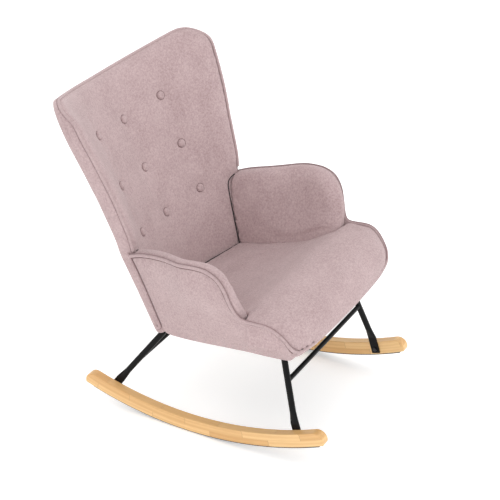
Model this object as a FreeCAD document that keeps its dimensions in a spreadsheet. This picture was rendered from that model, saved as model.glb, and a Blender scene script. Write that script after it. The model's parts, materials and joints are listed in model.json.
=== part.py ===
import FreeCAD, Part
import math
import os
import Sketcher

# Upholstered wing-back rocking chair, in millimetres.
# Origin on the floor in the middle of the footprint, +Z up, the sitter faces -Y.
# The sitter's left is +X.  The chair rolls on two bowed runners that touch the floor below the origin.

Vector = FreeCAD.Vector
Rotation = FreeCAD.Rotation
doc = FreeCAD.newDocument("rocking_chair")

# ---------------------------------------------------------------- driving sizes
SIZES = {
    # runners
    "rocker_radius": 1059,        # floor-side radius of the anti-slip strip
    "strip_thick": 4,
    "strip_width": 20,
    "strip_front_reach": 433,     # how far the strip reaches forward of the touching point
    "strip_rear_reach": 312,
    "runner_height": 41,
    "runner_thick": 29,
    "runner_gap": 510,            # clear distance between the two runners
    "runner_front_reach": 447,
    "runner_rear_reach": 336,
    "runner_end_round": 26,
    "runner_toe_round": 6,
    "runner_edge_round": 3,
    # legs
    "leg_dia": 18,
    "leg_wall": 1.5,
    "tab_width": 25,
    "tab_thick": 5,
    "tab_above": 40,              # flat tab above and below its bolt
    "tab_below": 13,
    "leg_taper": 38,              # length over which the round tube is pressed flat
    "front_leg_top_half": 203,    # half the spread of the front legs where they meet the seat
    "front_leg_top_ahead": 274,
    "front_foot_ahead": 355,
    "rear_leg_top_half": 194,
    "rear_leg_top_behind": 82,
    "rear_foot_behind": 254,
    "foot_bolt_rise": 19,         # bolt centre above the underside of the runner
    "bar_dia": 14,
    "front_bar_share": 0.57,      # crossbars along the round part of the legs, from its top
    "rear_bar_share": 0.84,
    # seat frame
    "frame_rise": 312,            # underside of the rails above the floor, at the origin
    "frame_tilt": 7.3,            # nose-up tilt of the seat frame, degrees
    "rail_thick": 22,
    "rail_width": 44,
    "frame_ahead": 350,           # front face of the front rail
    "frame_behind": 92,           # rear face of the rear rail
    "side_rail_half": 222,        # outer face of the side rails from the middle
    "front_board_height": 20,
    "front_board_thick": 15,
    "strap_width": 44,
    "strap_thick": 1.5,
    "strap_end_gap": 5,           # cross straps stop short of the side rails' outer faces
    "dust_thick": 1.2,
    "dust_side_lap": 10,          # dust cover beyond the side rails
    "dust_front_gap": 4,
    "dust_rear_gap": 19,
    "plate_thick": 4,
    "plate_width": 40,
    "plate_length": 84,
    "plate_hole_pitch": 60,
    "front_plate_at": -260,       # middle of the front leg plates along the frame
    "rear_plate_at": 69,
    "rear_plate_half": 191,
    "bolt_dia": 6,
    "bolt_head_dia": 12,
    "bolt_head": 4,
    "nut_dia": 9,
    "nut_length": 12,
    "fit": 0.3,                   # clearance between neighbouring pieces
    # tub: arms and seat sides
    "tub_low": "=frame_rise - 4.5",             # lower edge of the outer panels above the floor, at the origin
    "ruling_low": "=frame_rise - 12",            # heights between which the sides are ruled
    "ruling_high": "=frame_rise + 288",
    "tub_low_rear_half": 262,
    "tub_low_front_half": 284,
    "tub_high_rear_half": 297,
    "tub_high_mid_half": 348,
    "tub_high_front_half": 350,
    "flare_end_ahead": 66,        # where the arms stop flaring outward
    "arm_thick": 44,
    "arm_rear_height": "=frame_rise + 236",
    "arm_nose_ahead": 160,
    "arm_nose_height": "=frame_rise + 292",
    "arm_nose_round": 80,
    "arm_foot_ahead": 207,        # where the arm runs down into the seat side
    "arm_foot_round": 24,
    "arm_dome": 12,               # how far the padded top stands above the piping
    "arm_pad_front_gap": 7,       # padding stands ahead of the foot of the arm
    "arm_pad_foot": 18,           # foot of the arm's padded front above the seat side
    "panel_foot_round": 8,
    "panel_toe_back": 8,          # the panel's front edge leans back toward its foot
    "panel_toe_round": 6,
    "seat_side_height": "=frame_rise + 143",
    "seat_side_ahead": 366,
    "seat_side_round": 82,        # radius of the waterfall front at the sides
    "board_thick": 15,
    "board_inset": 10,
    "board_front_height": 60,
    "board_rise": 5,              # board's lower edge above the panel's
    "board_rear_gap": 6,
    "board_front_gap": 18,
    "board_front_step": 40,       # how far the board's lower front stands behind the panel's
    "board_front_rise": 14,
    "board_round": 20,
    "cover_thick": 2,
    "panel_thick": 2.5,
    "piping_dia": 8,
    # seat pad
    "seat_front_ahead": 392,
    "seat_crest_height": "=frame_rise + 156",
    "seat_rear_height": "=frame_rise + 18",
    "seat_rear": 158,
    "seat_dish_height": "=frame_rise + 64",
    "seat_dish_ahead": 50,
    "seat_rise_behind": 158,      # where the dish meets the crest, behind the front face
    "seat_rise_drop": 7,
    "seat_nose_behind": 40,       # a point on the rounded front
    "seat_nose_drop": 26,
    "seat_face_drop": 92,         # where the rounded front turns into the falling face
    "seat_face_lean": 6,
    "seat_below_floor": 40,       # the pad is trimmed to the seat frame from this far below it
    "front_band": 17,             # height of the plain band below the front piping
    # back
    "back_lean": 27,
    # length of the back from the floor, along its lean
    "back_top": "=1011 + (frame_rise - 312) * cos(back_lean * 1 deg)",
    "back_corner_round": 40,
    "back_crown": 8,              # how far the pad stands forward of the buttons
    "back_roll": 18,              # width of the rolled edge of the pad
    "foam_depth": 26,
    "wing_board_thick": 18,
    "rib_thick": 20,
    "top_rib_height": "=frame_rise + 556",
    "mid_rib_height": "=frame_rise + 413",
    "low_rib_height": "=frame_rise + 4",
    "back_piping_low": "=frame_rise + 248",
    "button_dia": 25,
    "button_thick": 9,
    "button_column": 161,
    "button_top": "=frame_rise + 480",
    "button_pitch": 134,
    "button_side_rise": 16,
    "tie_dia": 2,
    "toggle_dia": 14,
    "toggle_thick": 3,
    "back_strap_top": 8,          # straps run on above the middle of the top rib
    "back_bolt_column": 180,
    "back_bolt_height": "=frame_rise - 1",
    "back_bolt_sink": 5,          # counterbore below the bolt head
    "bolt_insert_depth": 16,
    # cross sections of the back from its foot to above its top edge: height, half width, wing
    # edge and middle of the front surface behind the origin, depth at the edge and in the middle
    "foot_height": "=frame_rise - 10",
    "foot_half": 255,
    "foot_edge": 67,
    "foot_middle": 141,
    "foot_edge_depth": 34,
    "foot_middle_depth": 66,
    "waist_height": "=frame_rise + 236",
    "waist_half": 294,
    "waist_edge": 147,
    "waist_middle": 229,
    "waist_edge_depth": 37,
    "waist_middle_depth": 64,
    "shoulder_height": "=frame_rise + 448",
    "shoulder_half": 321,
    "shoulder_edge": 200,
    "shoulder_middle": 337,
    "shoulder_edge_depth": 50,
    "shoulder_middle_depth": 56,
    "wing_height": "=frame_rise + 618",
    "wing_half": 350,
    "wing_edge": 273,
    "wing_middle": 428,
    "wing_edge_depth": 42,
    "wing_middle_depth": 41,
    "crown_height": "=frame_rise + 718",
    "crown_half": 358,
    "crown_edge": 334,
    "crown_middle": 481,
    "crown_edge_depth": 36,
    "crown_middle_depth": 35,
    # the seat pad's plan: half widths and, at each, the share of the front reach and crest height
    "pad_flat_half": 190,
    "pad_flat_reach": 0.977,
    "pad_flat_crest": 0.998,
    "pad_turn_half": 255,
    "pad_turn_reach": 0.935,
    "pad_turn_crest": 0.99,
    "pad_corner_half": 300,
    "pad_corner_reach": 0.9,
    "pad_corner_crest": 0.975,
    "pad_side_half": 380,
    "pad_side_reach": 0.82,
    "pad_side_crest": 0.96,
}

sheet = doc.addObject("Spreadsheet::Sheet", "sizes")
for row, (name, value) in enumerate(SIZES.items(), start=1):
    sheet.set(f"A{row}", name)
    sheet.set(f"B{row}", str(value))
    sheet.setAlias(f"B{row}", name)
doc.recompute()


def size(name):
    return float(sheet.get(name))


STATION_SIZES = ("height", "half", "edge", "middle", "edge_depth", "middle_depth")
FOOT, WAIST, SHOULDER, WING, CROWN = [
    [size(f"{station}_{name}") for name in STATION_SIZES]
    for station in ("foot", "waist", "shoulder", "wing", "crown")
]
BACK_STATIONS = [FOOT, WAIST, SHOULDER, WING, CROWN]
HEIGHT, HALF, EDGE = 0, 1, 2  # places of these sizes in a station

# Blocks that cut or keep a part of the chair reach this far, which is beyond all of it.
FAR = 1500

tilt = size("frame_tilt")
fit = size("fit")
parts = []


def keep(item, label):
    item.Label = label
    parts.append(item)
    return item


def feature(label, shape):
    """A sub-part whose shape is built below from the sheet's sizes."""
    item = doc.addObject("Part::Feature", label)
    item.Shape = shape
    return keep(item, label)


def one_solid(shape):
    """The largest solid of a boolean result, without the slivers that a trim can leave."""
    return max(shape.Solids, key=lambda solid: solid.Volume)


def frame_point(across, along, up):
    """A point of the tilted seat frame in chair coordinates."""
    turned = Rotation(Vector(1, 0, 0), -tilt).multVec(Vector(across, along, up))
    return turned + Vector(0, 0, size("frame_rise"))


FRAME = FreeCAD.Placement(Vector(0, 0, size("frame_rise")), Rotation(Vector(1, 0, 0), -tilt))


def frame_slab(low, high):
    """All the space between two levels of the seat frame."""
    slab = Part.makeBox(2 * FAR, 2 * FAR, high - low, Vector(-FAR, -FAR, low))
    slab.Placement = FRAME
    return slab


# ---------------------------------------------------------------- PartDesign helpers
def plane(body, role):
    return next(item for item in body.Origin.OriginFeatures if item.Role == role)


def new_sketch(body, role, name, offset=None):
    sketch = body.newObject("Sketcher::SketchObject", name)
    sketch.AttachmentSupport = (plane(body, role), [""])
    sketch.MapMode = "FlatFace"
    if offset:
        sketch.setExpression("AttachmentOffset.Base.z", offset)
    return sketch


def drive(sketch, constraint, expression):
    """Adds a dimension and binds it to the sheet."""
    index = sketch.addConstraint(constraint)
    sketch.setExpression(f"Constraints[{index}]", expression)


def rectangle(sketch, across, along, centre_across="0", centre_along="0"):
    """A rectangle with its middle at a bound point, as four lines."""
    corners = [Vector(-5, -5, 0), Vector(5, -5, 0), Vector(5, 5, 0), Vector(-5, 5, 0)]
    first = sketch.GeometryCount
    for start, end in zip(corners, corners[1:] + corners[:1]):
        sketch.addGeometry(Part.LineSegment(start, end), False)
    for side in range(4):
        sketch.addConstraint(
            Sketcher.Constraint("Coincident", first + side, 2, first + (side + 1) % 4, 1)
        )
    for side in (0, 2):
        sketch.addConstraint(Sketcher.Constraint("Horizontal", first + side))
    for side in (1, 3):
        sketch.addConstraint(Sketcher.Constraint("Vertical", first + side))
    low_x = f"({centre_across}) - ({across}) / 2"
    low_y = f"({centre_along}) - ({along}) / 2"
    drive(sketch, Sketcher.Constraint("DistanceX", -1, 1, first, 1, -5), low_x)
    drive(sketch, Sketcher.Constraint("DistanceY", -1, 1, first, 1, -5), low_y)
    drive(sketch, Sketcher.Constraint("DistanceX", first, 1, first, 2, 10), across)
    drive(sketch, Sketcher.Constraint("DistanceY", first + 1, 1, first + 1, 2, 10), along)


def circle(sketch, diameter, centre_across, centre_along):
    index = sketch.addGeometry(Part.Circle(Vector(1, 1, 0), Vector(0, 0, 1), 3), False)
    drive(sketch, Sketcher.Constraint("Diameter", index, 6), diameter)
    drive(sketch, Sketcher.Constraint("DistanceX", -1, 1, index, 3, 1), centre_across)
    drive(sketch, Sketcher.Constraint("DistanceY", -1, 1, index, 3, 1), centre_along)


def pad(body, sketch, length):
    item = body.newObject("PartDesign::Pad", "Pad")
    item.Profile = sketch
    item.setExpression("Length", length)
    return item


# ---------------------------------------------------------------- runners and strips
def bowed_sketch(body, offset, outer, inner, front, rear):
    """An arched band about the rocking centre, closed by a straight line at each end."""
    sketch = new_sketch(body, "YZ_Plane", "Profile", offset)
    high = size("rocker_radius")
    centre = Vector(0, high, 0)
    front_reach, rear_reach = size("strip_front_reach"), size("strip_rear_reach")
    outer_size = high - size("strip_thick")
    inner_size = outer_size - size("runner_height")
    front_turn = math.asin(front_reach / high)
    rear_turn = math.asin(rear_reach / high)
    start = -math.pi / 2 - front_turn
    stop = -math.pi / 2 + rear_turn
    arcs = []
    for radius in (outer_size, inner_size):
        circle_line = Part.Circle(centre, Vector(0, 0, 1), radius)
        arcs.append(sketch.addGeometry(Part.ArcOfCircle(circle_line, start, stop), False))
    low, top = arcs
    ends = []
    for corner in (1, 2):
        first = sketch.getPoint(low, corner)
        second = sketch.getPoint(top, corner)
        line = sketch.addGeometry(Part.LineSegment(first, second), False)
        sketch.addConstraint(Sketcher.Constraint("Coincident", line, 1, low, corner))
        sketch.addConstraint(Sketcher.Constraint("Coincident", line, 2, top, corner))
        ends.append(line)
    sketch.addConstraint(Sketcher.Constraint("Coincident", low, 3, top, 3))
    sketch.addConstraint(Sketcher.Constraint("PointOnObject", low, 3, -2))
    drive(sketch, Sketcher.Constraint("DistanceY", -1, 1, low, 3, high), "sizes.rocker_radius")
    drive(sketch, Sketcher.Constraint("Radius", low, outer_size), outer)
    drive(sketch, Sketcher.Constraint("Radius", top, inner_size), inner)
    for arc in (low, top):
        drive(sketch, Sketcher.Constraint("DistanceX", arc, 1, -1, 1, front_reach), front)
        drive(sketch, Sketcher.Constraint("DistanceX", -1, 1, arc, 2, rear_reach), rear)
    return sketch


def long_edges(shape, direction, length):
    """Names of the straight edges that run along a direction over a given length."""
    found = []
    for index, edge in enumerate(shape.Edges, start=1):
        if edge.Curve.TypeId != "Part::GeomLine":
            continue
        along = edge.tangentAt(edge.FirstParameter)
        if abs(along.dot(direction)) > 0.99 and abs(edge.Length - length) < 0.1:
            found.append(f"Edge{index}")
    return found


def runner(label, side):
    body = doc.addObject("PartDesign::Body", label)
    near = "sizes.runner_gap / 2"
    offset = near if side > 0 else f"-({near}) - sizes.runner_thick"
    outer = "sizes.rocker_radius - sizes.strip_thick"
    inner = f"{outer} - sizes.runner_height"
    sketch = bowed_sketch(
        body, offset, outer, inner, "sizes.runner_front_reach", "sizes.runner_rear_reach"
    )
    block = pad(body, sketch, "sizes.runner_thick")
    doc.recompute()
    tip = block
    mid_radius = size("rocker_radius") - size("strip_thick") - size("runner_height") / 2
    for name, upper in (("toe", False), ("end", True)):
        edges = []
        for edge_name in long_edges(tip.Shape, Vector(1, 0, 0), size("runner_thick")):
            middle = tip.Shape.getElement(edge_name).CenterOfMass
            reach = math.hypot(middle.y, size("rocker_radius") - middle.z)
            if (reach < mid_radius) == upper:
                edges.append(edge_name)
        rounded = body.newObject("PartDesign::Fillet", f"{name.capitalize()}s")
        rounded.Base = (tip, edges)
        rounded.setExpression("Radius", f"sizes.runner_{name}_round")
        doc.recompute()
        tip = rounded
    ends = tip
    rims = body.newObject("PartDesign::Fillet", "Rims")
    curved = [
        f"Edge{index}"
        for index, edge in enumerate(ends.Shape.Edges, start=1)
        if edge.Curve.TypeId == "Part::GeomCircle" and edge.Length > size("strip_rear_reach")
    ]
    rims.Base = (ends, curved)
    rims.setExpression("Radius", "sizes.runner_edge_round")
    doc.recompute()
    before = rims.Shape.Volume
    bores = new_sketch(body, "YZ_Plane", "Bores", near if side > 0 else f"-({near})")
    for along in ("-sizes.front_foot_ahead", "sizes.rear_foot_behind"):
        swing = "sizes.rocker_radius - sizes.strip_thick - sizes.foot_bolt_rise"
        height = f"sizes.rocker_radius - sqrt(({swing}) ^ 2 - ({along}) ^ 2)"
        circle(bores, "sizes.nut_dia + 2 * sizes.fit", along, height)
    pocket = body.newObject("PartDesign::Pocket", "InsertHoles")
    pocket.Profile = bores
    pocket.setExpression("Length", "sizes.nut_length + 2 * sizes.fit")
    pocket.Reversed = side > 0
    doc.recompute()
    if pocket.Shape.Volume >= before:
        raise RuntimeError(f"{label} has no insert holes")
    return keep(body, label)


def runner_strip(label, side):
    body = doc.addObject("PartDesign::Body", label)
    middle = "(sizes.runner_gap + sizes.runner_thick) / 2"
    sign = "" if side > 0 else "-"
    offset = f"{sign}({middle}) - sizes.strip_width / 2"
    sketch = bowed_sketch(
        body,
        offset,
        "sizes.rocker_radius",
        "sizes.rocker_radius - sizes.strip_thick",
        "sizes.strip_front_reach",
        "sizes.strip_rear_reach",
    )
    pad(body, sketch, "sizes.strip_width")
    return keep(body, label)


for name, side in (("left", 1), ("right", -1)):
    runner(f"runner_{name}", side)
    runner_strip(f"runner_strip_{name}", side)
doc.recompute()


# ---------------------------------------------------------------- sides of the tub
# The sides are ruled between these two places, which lie beyond both ends of the arms.
TUB_REAR = 150
TUB_FRONT = -440


def side_points(level, inset):
    """Points along one side of the tub, seen from above, at the lower or upper ruling."""
    if level == "low":
        rear, front = size("tub_low_rear_half"), size("tub_low_front_half")
        share = (TUB_REAR + size("flare_end_ahead")) / (TUB_REAR - TUB_FRONT)
        middle = rear + (front - rear) * share
    else:
        rear, middle = size("tub_high_rear_half"), size("tub_high_mid_half")
        front = size("tub_high_front_half")
    height = size(f"ruling_{level}")
    return [
        Vector(rear - inset, TUB_REAR, height),
        Vector(middle - inset, -size("flare_end_ahead"), height),
        Vector(front - inset, TUB_FRONT, height),
    ]


def flipped(points):
    return [Vector(-point.x, point.y, point.z) for point in points]


def stretched(low, high):
    """Carries the rulings between two levels on past both of them."""
    sections = []
    for share in (-0.3, 1.2):
        section = [start + (end - start) * share for start, end in zip(low, high)]
        sections.append(Part.makePolygon(section + section[:1]))
    return Part.makeLoft(sections, True, True)


def side_slab(side, outer, inner):
    """A leaning slab along one side, between two insets from the outer face."""
    levels = []
    for level in ("low", "high"):
        face = side_points(level, outer)
        back = side_points(level, inner)
        ring = face + back[::-1]
        levels.append(ring if side > 0 else flipped(ring))
    return stretched(*levels)


def tub_inside(inset):
    """The space between the two sides of the tub."""
    levels = []
    for level in ("low", "high"):
        face = side_points(level, inset)
        levels.append(face + flipped(face)[::-1])
    return stretched(*levels)


def rounded_polygon(corners):
    """A closed outline in the side view from (behind, height, radius) corners."""
    edges = []
    points = [Vector(0, behind, height) for behind, height, _ in corners]
    last = first = None
    for index, (_, _, radius) in enumerate(corners):
        corner = points[index]
        before = (points[index - 1] - corner).normalize()
        after = (points[(index + 1) % len(points)] - corner).normalize()
        start = stop = corner
        if radius:
            half_angle = before.getAngle(after) / 2
            reach = radius / math.tan(half_angle)
            start, stop = corner + before * reach, corner + after * reach
            bisector = (before + after).normalize()
            middle = corner + bisector * (radius / math.sin(half_angle) - radius)
        if last:
            edges.append(Part.makeLine(last, start))
        else:
            first = start
        if radius:
            edges.append(Part.Arc(start, middle, stop).toShape())
        last = stop
    edges.append(Part.makeLine(last, first))
    return Part.Wire(edges)


def side_prism(corners, grow=0.0):
    """A prism across the whole chair from an outline in the side view."""
    wire = rounded_polygon(corners)
    if grow:
        wire = wire.makeOffset2D(grow, 2)
    face = Part.Face(wire)
    face.translate(Vector(-FAR, 0, 0))
    return face.extrude(Vector(2 * FAR, 0, 0))


def tub_floor(behind, rise=0.0):
    """Height of the tub's lower edge, which follows the tilt of the frame."""
    return size("tub_low") + rise - behind * math.tan(math.radians(tilt))


arm_rear = WAIST[EDGE] - fit
low_rear = FOOT[EDGE] - fit
nose = -size("arm_nose_ahead")
arm_foot = -size("arm_foot_ahead")
toe = -size("seat_side_ahead")
inset = size("board_inset")
PANEL_OUTLINE = [
    (low_rear, tub_floor(low_rear), size("panel_foot_round")),
    (arm_rear, size("arm_rear_height"), 0),
    (nose, size("arm_nose_height"), size("arm_nose_round")),
    (arm_foot, size("seat_side_height"), size("arm_foot_round")),
    (toe, size("seat_side_height"), size("seat_side_round")),
    (toe + size("panel_toe_back"), tub_floor(toe), size("panel_toe_round")),
]
board_top = tub_floor(arm_foot, size("board_front_height"))
board_step = toe + size("board_front_step")
BOARD_OUTLINE = [
    (low_rear - size("board_rear_gap"), tub_floor(low_rear, size("board_rise")), 0),
    (arm_rear - size("board_rear_gap"), size("arm_rear_height") - inset, 0),
    (nose + inset, size("arm_nose_height") - inset, size("arm_nose_round") - inset),
    (arm_foot + inset, board_top, size("board_round")),
    (board_step, board_top + size("board_front_rise"), size("board_round")),
    (toe + size("board_front_gap"), tub_floor(toe, size("board_rise")), 0),
]
panel_inner = size("panel_thick")
board_outer = panel_inner + fit
board_inner = board_outer + size("board_thick")
between_boards = tub_inside(board_inner + fit)


# ---------------------------------------------------------------- seat frame
def framed_body(label, level):
    """A body that lies in the tilted seat frame, with a sketch at one level of it."""
    body = doc.addObject("PartDesign::Body", label)
    body.Placement = FRAME
    return body, new_sketch(body, "XY_Plane", "Outline", level)


def front_bolt_circles(sketch, sign, diameter):
    """The holes of a front leg plate, which lies along a side rail."""
    half = f"{sign}(sizes.side_rail_half - sizes.rail_width / 2)"
    for shift in ("-", "+"):
        circle(sketch, diameter, half, f"sizes.front_plate_at {shift} sizes.plate_hole_pitch / 2")


def rear_bolt_circles(sketch, sign, diameter):
    """The holes of a rear leg plate, which lies along the rear rail."""
    for shift in ("-", "+"):
        half = f"{sign}(sizes.rear_plate_half {shift} sizes.plate_hole_pitch / 2)"
        circle(sketch, diameter, half, "sizes.rear_plate_at")


for name, sign in (("left", ""), ("right", "-")):
    body, sketch = framed_body(f"seat_rail_{name}", "0")
    rectangle(
        sketch, "sizes.rail_width",
        "sizes.frame_ahead + sizes.frame_behind - 2 * sizes.rail_width",
        f"{sign}(sizes.side_rail_half - sizes.rail_width / 2)",
        "(sizes.frame_behind - sizes.frame_ahead) / 2",
    )
    front_bolt_circles(sketch, sign, "sizes.nut_dia + 2 * sizes.fit")
    pad(body, sketch, "sizes.rail_thick")
    keep(body, body.Label)


def cross_rail(label, along, up, width, height, cutter=None):
    """A timber rail across the frame, its ends cut to the leaning side boards."""
    box = doc.addObject("Part::Box", f"{label}_stock")
    box.Length = 2 * FAR
    box.setExpression("Width", width)
    box.setExpression("Height", height)
    box.Placement = FRAME.multiply(FreeCAD.Placement(Vector(-FAR, along, up), Rotation()))
    limits = doc.addObject("Part::Feature", f"{label}_limits")
    limits.Shape = between_boards.cut(cutter) if cutter else between_boards
    trimmed = doc.addObject("Part::Common", label)
    trimmed.Base = box
    trimmed.Tool = limits
    return keep(trimmed, label)


LONG_STRAPS = 5
CROSS_STRAPS = 4


def straps(label, across, along, turned, pitch, count, level):
    """A set of straps as separate solids, each spanning the frame."""
    solids = []
    frame_middle = (size("frame_behind") - size("frame_ahead")) / 2
    corner = Vector(-across / 2, frame_middle - along / 2, level)
    for index in range(count):
        shift = (index - (count - 1) / 2) * pitch
        step = Vector(0, shift, 0) if turned else Vector(shift, 0, 0)
        solids.append(Part.makeBox(across, along, size("strap_thick"), corner + step))
    group = Part.makeCompound(solids)
    group.Placement = FRAME
    return feature(label, group)


frame_length = size("frame_ahead") + size("frame_behind")
clear_width = 2 * (size("side_rail_half") - size("rail_width"))
clear_length = frame_length - 2 * size("rail_width")
straps(
    "seat_webbing_long",
    size("strap_width"),
    frame_length - 2 * size("front_board_thick") - 2 * fit,
    False,
    clear_width / (LONG_STRAPS - 0.4),
    LONG_STRAPS,
    size("rail_thick"),
)
straps(
    "seat_webbing_cross",
    2 * (size("side_rail_half") - size("strap_end_gap")),
    size("strap_width"),
    True,
    clear_length / (CROSS_STRAPS + 0.4),
    CROSS_STRAPS,
    size("rail_thick") + size("strap_thick"),
)

dust, dust_sketch = framed_body("dust_cover", "-sizes.dust_thick")
dust_front = "(sizes.frame_ahead - sizes.dust_front_gap)"
dust_rear = "(sizes.frame_behind - sizes.dust_rear_gap)"
rectangle(
    dust_sketch,
    "2 * (sizes.side_rail_half + sizes.dust_side_lap)",
    f"{dust_front} + {dust_rear}",
    "0",
    f"({dust_rear} - {dust_front}) / 2",
)
for sign in ("", "-"):
    front_bolt_circles(dust_sketch, sign, "sizes.bolt_dia + 2 * sizes.fit")
    rear_bolt_circles(dust_sketch, sign, "sizes.bolt_dia + 2 * sizes.fit")
pad(dust, dust_sketch, "sizes.dust_thick")
keep(dust, "dust_cover")
doc.recompute()


# ---------------------------------------------------------------- legs
plate_low = -size("dust_thick") - size("plate_thick")
leg_radius = size("leg_dia") / 2
tab_centre = size("runner_gap") / 2 - size("tab_thick") / 2


def foot_point(side, along):
    """Middle of the bolted tab on the inner face of a runner."""
    radius = size("rocker_radius") - size("strip_thick") - size("foot_bolt_rise")
    height = size("rocker_radius") - math.sqrt(radius ** 2 - along ** 2)
    return Vector(side * tab_centre, along, height)


def leg_line(side, front):
    """Top and bottom of a leg's centre line."""
    if front:
        top = frame_point(side * size("front_leg_top_half"), -size("front_leg_top_ahead"), plate_low)
        return top, foot_point(side, -size("front_foot_ahead"))
    top = frame_point(side * size("rear_leg_top_half"), size("rear_leg_top_behind"), plate_low)
    return top, foot_point(side, size("rear_foot_behind"))


PAST = 30  # how far a tool runs on beyond the piece it makes


def leg_shape(side, front):
    """A round tube, pressed flat at the foot, with a bolt hole in the flat tab."""
    top, bolt = leg_line(side, front)
    slope = Vector(0, bolt.y - top.y, bolt.z - top.z).normalize()
    cross = Vector(0, -slope.z, slope.y)
    tab_top = bolt - slope * size("tab_above")
    taper_top = tab_top + (top - tab_top).normalize() * size("leg_taper")
    aim = (taper_top - top).normalize()
    length = (taper_top - top).Length + PAST
    tube = Part.makeCylinder(leg_radius, length, top - aim * PAST, aim)
    bore = Part.makeCylinder(leg_radius - size("leg_wall"), length, top - aim * PAST, aim)
    round_end = Part.Wire(Part.makeCircle(leg_radius, taper_top, aim))
    wide = size("tab_width") / 2
    thin = size("tab_thick") / 2
    corners = [
        tab_top + cross * (wide * a) + Vector(thin * b, 0, 0)
        for a, b in ((-1, -1), (1, -1), (1, 1), (-1, 1), (-1, -1))
    ]
    flat_end = Part.makePolygon(corners)
    taper = Part.makeLoft([round_end, flat_end], True, True)
    tab = Part.Face(flat_end).extrude(slope * (size("tab_above") + size("tab_below")))
    through = Vector(1, 0, 0)
    hole = Part.makeCylinder(size("bolt_dia") / 2 + fit, 2 * PAST, bolt - through * PAST, through)
    above = frame_slab(plate_low, plate_low + FAR)
    return one_solid(tube.cut(bore).cut(above).fuse(taper).fuse(tab).cut(hole).removeSplitter())


for name, side in (("left", 1), ("right", -1)):
    feature(f"front_leg_{name}", leg_shape(side, True))
    feature(f"rear_leg_{name}", leg_shape(side, False))


def crossbar(label, front, share):
    """A round bar between a pair of legs, coped to fit them."""
    ends = []
    coping = []
    for side in (-1, 1):
        top, bolt = leg_line(side, front)
        slope = Vector(0, bolt.y - top.y, bolt.z - top.z).normalize()
        tab_top = bolt - slope * size("tab_above")
        taper_top = tab_top + (top - tab_top).normalize() * size("leg_taper")
        aim = (taper_top - top).normalize()
        ends.append(top + (taper_top - top) * size(share))
        coping.append(Part.makeCylinder(leg_radius, FAR, top - aim * PAST, aim))
    bar = Part.makeCylinder(
        size("bar_dia") / 2, (ends[1] - ends[0]).Length, ends[0], ends[1] - ends[0]
    )
    return feature(label, one_solid(bar.cut(coping[0]).cut(coping[1])))


crossbar("front_crossbar", True, "front_bar_share")
crossbar("rear_crossbar", False, "rear_bar_share")


for name, sign in (("left", ""), ("right", "-")):
    plate_level = "-sizes.dust_thick - sizes.plate_thick"
    body, sketch = framed_body(f"front_leg_plate_{name}", plate_level)
    half = f"{sign}(sizes.side_rail_half - sizes.rail_width / 2)"
    rectangle(sketch, "sizes.plate_width", "sizes.plate_length", half, "sizes.front_plate_at")
    front_bolt_circles(sketch, sign, "sizes.bolt_dia + 2 * sizes.fit")
    pad(body, sketch, "sizes.plate_thick")
    keep(body, body.Label)
    body, sketch = framed_body(f"rear_leg_plate_{name}", plate_level)
    half = f"{sign}sizes.rear_plate_half"
    rectangle(sketch, "sizes.plate_length", "sizes.plate_width", half, "sizes.rear_plate_at")
    rear_bolt_circles(sketch, sign, "sizes.bolt_dia + 2 * sizes.fit")
    pad(body, sketch, "sizes.plate_thick")
    keep(body, body.Label)
doc.recompute()


# ---------------------------------------------------------------- shape of the back
def rib_curve(half, edge, middle, height):
    """An arc across the back at one height, from wing to wing."""
    left = Vector(-half, edge, height)
    right = Vector(half, edge, height)
    return Part.Arc(left, Vector(0, middle, height), right).toShape()


def arc_depth(across, half, edge, middle):
    """Distance behind the origin of a point on the arc through both edges and the middle."""
    sag = middle - edge
    radius = (half ** 2 + sag ** 2) / (2 * sag)
    return middle - radius + math.sqrt(radius ** 2 - across ** 2)


def back_section(station, front, rear, side, depth):
    """A closed outline across the back.  Insets run inward from the front, rear and sides."""
    height, full, edge, middle, edge_depth, middle_depth = station
    half = full - side
    rolled = front < size("foam_depth")
    face_half = half - size("back_roll") if rolled else half
    face_shift = front - size("back_crown")
    face_edge = arc_depth(face_half, full, edge, middle) + face_shift
    rim = arc_depth(half, full, edge, middle)
    if depth is None:
        rear_middle = middle + middle_depth - rear
        rear_edge = arc_depth(half, full, edge + edge_depth, middle + middle_depth) - rear
    else:
        rear_middle = middle + face_shift + depth
        rear_edge = rim + face_shift + depth
    face = rib_curve(face_half, face_edge, middle + face_shift, height)
    rear_face = rib_curve(half, rear_edge, rear_middle, height)
    low_left, low_right = rear_face.Vertexes[0].Point, rear_face.Vertexes[-1].Point
    edges = [face]
    corner_left, corner_right = face.Vertexes[0].Point, face.Vertexes[-1].Point
    if rolled:
        rim_left, rim_right = Vector(-half, rim + front, height), Vector(half, rim + front, height)
        edges += [Part.makeLine(rim_left, corner_left), Part.makeLine(corner_right, rim_right)]
        corner_left, corner_right = rim_left, rim_right
    edges += [Part.makeLine(corner_right, low_right), rear_face, Part.makeLine(low_left, corner_left)]
    return Part.Wire(Part.__sortEdges__(edges))


lean = math.radians(size("back_lean"))
UP_BACK = Vector(0, math.sin(lean), math.cos(lean))
OFF_BACK = Vector(0, -math.cos(lean), math.sin(lean))


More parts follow.
